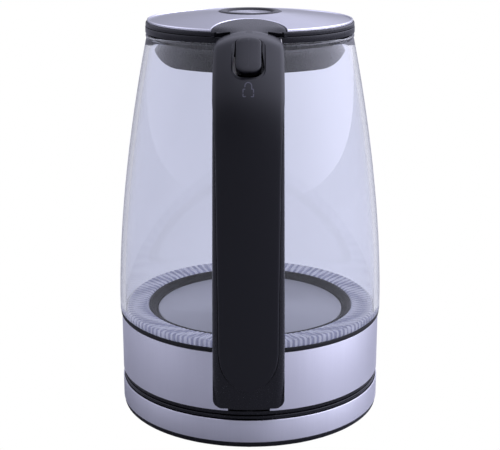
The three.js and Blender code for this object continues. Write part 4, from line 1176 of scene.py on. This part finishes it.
def seen_directly(tree):
    """One for a sight line or a line through glass, nought for a reflection."""
    path = add_node(tree, "ShaderNodeLightPath")
    seen = add_node(tree, "ShaderNodeMath", operation="MAXIMUM")
    tree.links.new(path.outputs["Is Camera Ray"], seen.inputs[0])
    tree.links.new(path.outputs["Is Transmission Ray"], seen.inputs[1])
    return seen.outputs[0]


def white_strength(tree, across):
    """Full white to the eye; through glass a little dimmer on the left, as the light falls."""
    path = add_node(tree, "ShaderNodeLightPath")
    through = add_node(tree, "ShaderNodeMapRange", [(across, "Value")],
                       From_Min=-0.13, From_Max=0.13, To_Min=0.8, To_Max=1.0)
    sight = add_node(tree, "ShaderNodeMix", [(path.outputs["Is Camera Ray"], 0),
                                             (through.outputs[0], 2)], data_type="FLOAT")
    sight.inputs[3].default_value = 1.0
    return sight.outputs[0]


# Patches of light as (towards, sharpness, strength), and the tent's tone from front to back.
TENT = [((1.0, 0.15, 0.2), 3, 3.2), ((-1.0, 0.1, 0.25), 3, 1.15), ((0.12, 0.9, 0.5), 9, 0.9),
        ((0.1, 0.0, 1.0), 5, 0.9), ((0.3, -0.5, 0.8), 3, 1.7)]
TENT_BASE = [(0.0, 0.04), (0.1, 0.06), (0.4, 0.28), (0.65, 0.25), (0.9, 0.16), (1.0, 0.16)]


def studio_world():
    """A light tent: white seen straight on and through glass, with a dim front wall, a bright
    wall on the right, a fainter one on the left and soft light from above and behind."""
    world = bpy.data.worlds.new("studio_tent")
    bpy.context.scene.world = world
    world.use_nodes = True
    tree = world.node_tree
    tree.nodes.clear()
    where = add_node(tree, "ShaderNodeTexCoord")
    ray = where.outputs["Generated"]
    split = add_node(tree, "ShaderNodeSeparateXYZ", [(ray, "Vector")])
    shift = add_node(tree, "ShaderNodeMath", [(split.outputs["Y"], 0)], operation="MULTIPLY_ADD")
    shift.inputs[1].default_value, shift.inputs[2].default_value = 0.5, 0.5
    wall = add_node(tree, "ShaderNodeValToRGB", [(shift.outputs[0], "Fac")])
    ramp = wall.color_ramp.elements
    while len(ramp) < len(TENT_BASE):
        ramp.new(1.0)
    for stop, (spot, tone) in zip(ramp, TENT_BASE):
        stop.position, stop.color = spot, (tone, tone, tone, 1)
    total = wall.outputs["Color"]
    for toward, sharpness, strength in TENT:
        add = add_node(tree, "ShaderNodeMath", [(total, 0)], operation="ADD")
        tree.links.new(lobe(tree, ray, toward, sharpness, strength), add.inputs[1])
        total = add.outputs[0]
    tent = add_node(tree, "ShaderNodeBackground", [(total, "Strength")])
    tent.inputs["Color"].default_value = linear("#e6e7ff")
    white = add_node(tree, "ShaderNodeBackground")
    white.inputs["Color"].default_value = (1, 1, 1, 1)
    seen = seen_directly(tree)
    tree.links.new(white_strength(tree, split.outputs["X"]), white.inputs["Strength"])
    mix = add_node(tree, "ShaderNodeMixShader", [(seen, 0), (tent.outputs[0], 1),
                                                 (white.outputs[0], 2)])
    out = add_node(tree, "ShaderNodeOutputWorld")
    tree.links.new(mix.outputs[0], out.inputs["Surface"])


def studio_floor():
    """Matt pale paper, burnt out to white to the eye but dim in what the steel reflects."""
    material, tree, bsdf = new_material("matt_paper", Roughness=0.9)
    fibre = grain(tree, (1, 1, 1), 6)
    tree.links.new(tint(tree, fibre, shade_of(colours().floor, 0.24), shade_of(colours().floor, 0.28)),
                   bsdf.inputs["Base Color"])
    glow = add_node(tree, "ShaderNodeEmission", Strength=1.0)
    glow.inputs["Color"].default_value = (1, 1, 1, 1)
    place = add_node(tree, "ShaderNodeTexCoord")
    across = add_node(tree, "ShaderNodeSeparateXYZ", [(place.outputs["Object"], "Vector")])
    tree.links.new(white_strength(tree, across.outputs["X"]), glow.inputs["Strength"])
    seen = seen_directly(tree)
    mix = add_node(tree, "ShaderNodeMixShader", [(seen, 0), (bsdf.outputs[0], 1),
                                                 (glow.outputs[0], 2)])
    tree.links.new(mix.outputs[0], tree.nodes["Material Output"].inputs["Surface"])
    mesh = bpy.data.meshes.new("floor")
    mesh.from_pydata([(-6, -6, 0), (6, -6, 0), (6, 6, 0), (-6, 6, 0)], [], [(0, 1, 2, 3)])
    mesh.materials.append(material)
    floor = add_object("floor", mesh)


def soft_light(name, place, target, width, height, power):
    """A large soft lamp that lights matt surfaces only; the tent makes the reflections."""
    light = bpy.data.lights.new(name, "AREA")
    light.shape, light.size, light.size_y = "RECTANGLE", width, height
    light.energy = power
    light.color = linear("#e2e5ff")[:3]
    lamp = add_object(name, light)
    lamp.location = place
    lamp.rotation_euler = (Vector(target) - Vector(place)).to_track_quat("-Z", "Y").to_euler()
    lamp.visible_camera = False
    lamp.visible_transmission = False
    lamp.visible_glossy = False


def studio_camera():
    """A long lens a little above the lid, looking slightly down."""
    camera = bpy.data.cameras.new("camera")
    camera.sensor_width, camera.lens = 36.0, 88.15
    camera.dof.use_dof = False
    view = add_object("camera", camera)
    away, height, turn, pitch = 0.710, 0.311, math.radians(0.43), 15.8
    middle = Vector((0, AXIS_Y / 1000, 0))
    view.location = middle + Vector((away * math.sin(turn), -away * math.cos(turn), height))
    view.rotation_euler = (math.radians(90 - pitch), 0, turn)
    bpy.context.scene.camera = view


def build_stage():
    """The tent, the floor, two soft lamps and the camera."""
    studio_world()
    studio_floor()
    middle = (0, 0.02, 0.12)
    soft_light("right_softbox", (1.1, -0.1, 0.5), middle, 0.6, 0.9, 7)
    soft_light("top_softbox", (0.25, 0.35, 1.3), middle, 1.0, 0.7, 4)
    studio_camera()
    bpy.context.scene.view_settings.view_transform = "Standard"


# ---------------------------------------------------------------- add-on

def piece_operator(key, label, work):
    """One operator that builds one piece or group of like pieces, as its function says."""
    def execute(self, context):
        work()
        return {"FINISHED"}

    return type("KETTLE_OT_" + key, (bpy.types.Operator,), {
        "__doc__": work.__doc__, "bl_idname": "kettle." + key, "bl_label": label, "execute": execute})


STEPS = [piece_operator(key, label, work) for key, label, work in (
    ("base", "Power base", build_base),
    ("jug_foot", "Jug foot", build_jug_foot),
    ("glass", "Glass jug", build_glass),
    ("lamp_ring", "Lamp ring and plate", build_lamp_ring),
    ("collar", "Neck collar", build_collar),
    ("lid", "Lid", build_lid),
    ("handle", "Handle", build_handle),
    ("button", "Lid button", build_button),
    ("marks", "Printed signs", build_marks),
    ("kept", "Inner pieces", finish_kept),
    ("stage", "Studio", build_stage),
)]


class KETTLE_PT_panel(bpy.types.Panel):
    """Lists the kettle's sizes, colours and building steps."""

    bl_label = "Electric kettle"
    bl_idname = "KETTLE_PT_panel"
    bl_space_type = "VIEW_3D"
    bl_region_type = "UI"
    bl_category = "Kettle"

    def draw(self, context):
        for group in (context.scene.kettle_sizes, context.scene.kettle_colours):
            for key in group.bl_rna.properties.keys():
                if key not in ("rna_type", "name"):
                    self.layout.prop(group, key)
        for step in STEPS:
            self.layout.operator(step.bl_idname)


CLASSES = [KettleSizes, KettleColours, *STEPS, KETTLE_PT_panel]


def register():
    for cls in CLASSES:
        bpy.utils.register_class(cls)
    bpy.types.Scene.kettle_sizes = bpy.props.PointerProperty(type=KettleSizes)
    bpy.types.Scene.kettle_colours = bpy.props.PointerProperty(type=KettleColours)


def unregister():
    del bpy.types.Scene.kettle_sizes
    del bpy.types.Scene.kettle_colours
    for cls in reversed(CLASSES):
        bpy.utils.unregister_class(cls)


def main():
    register()
    for step in STEPS:
        getattr(bpy.ops.kettle, step.bl_idname.split(".")[1])()


if __name__ == "__main__":
    main()
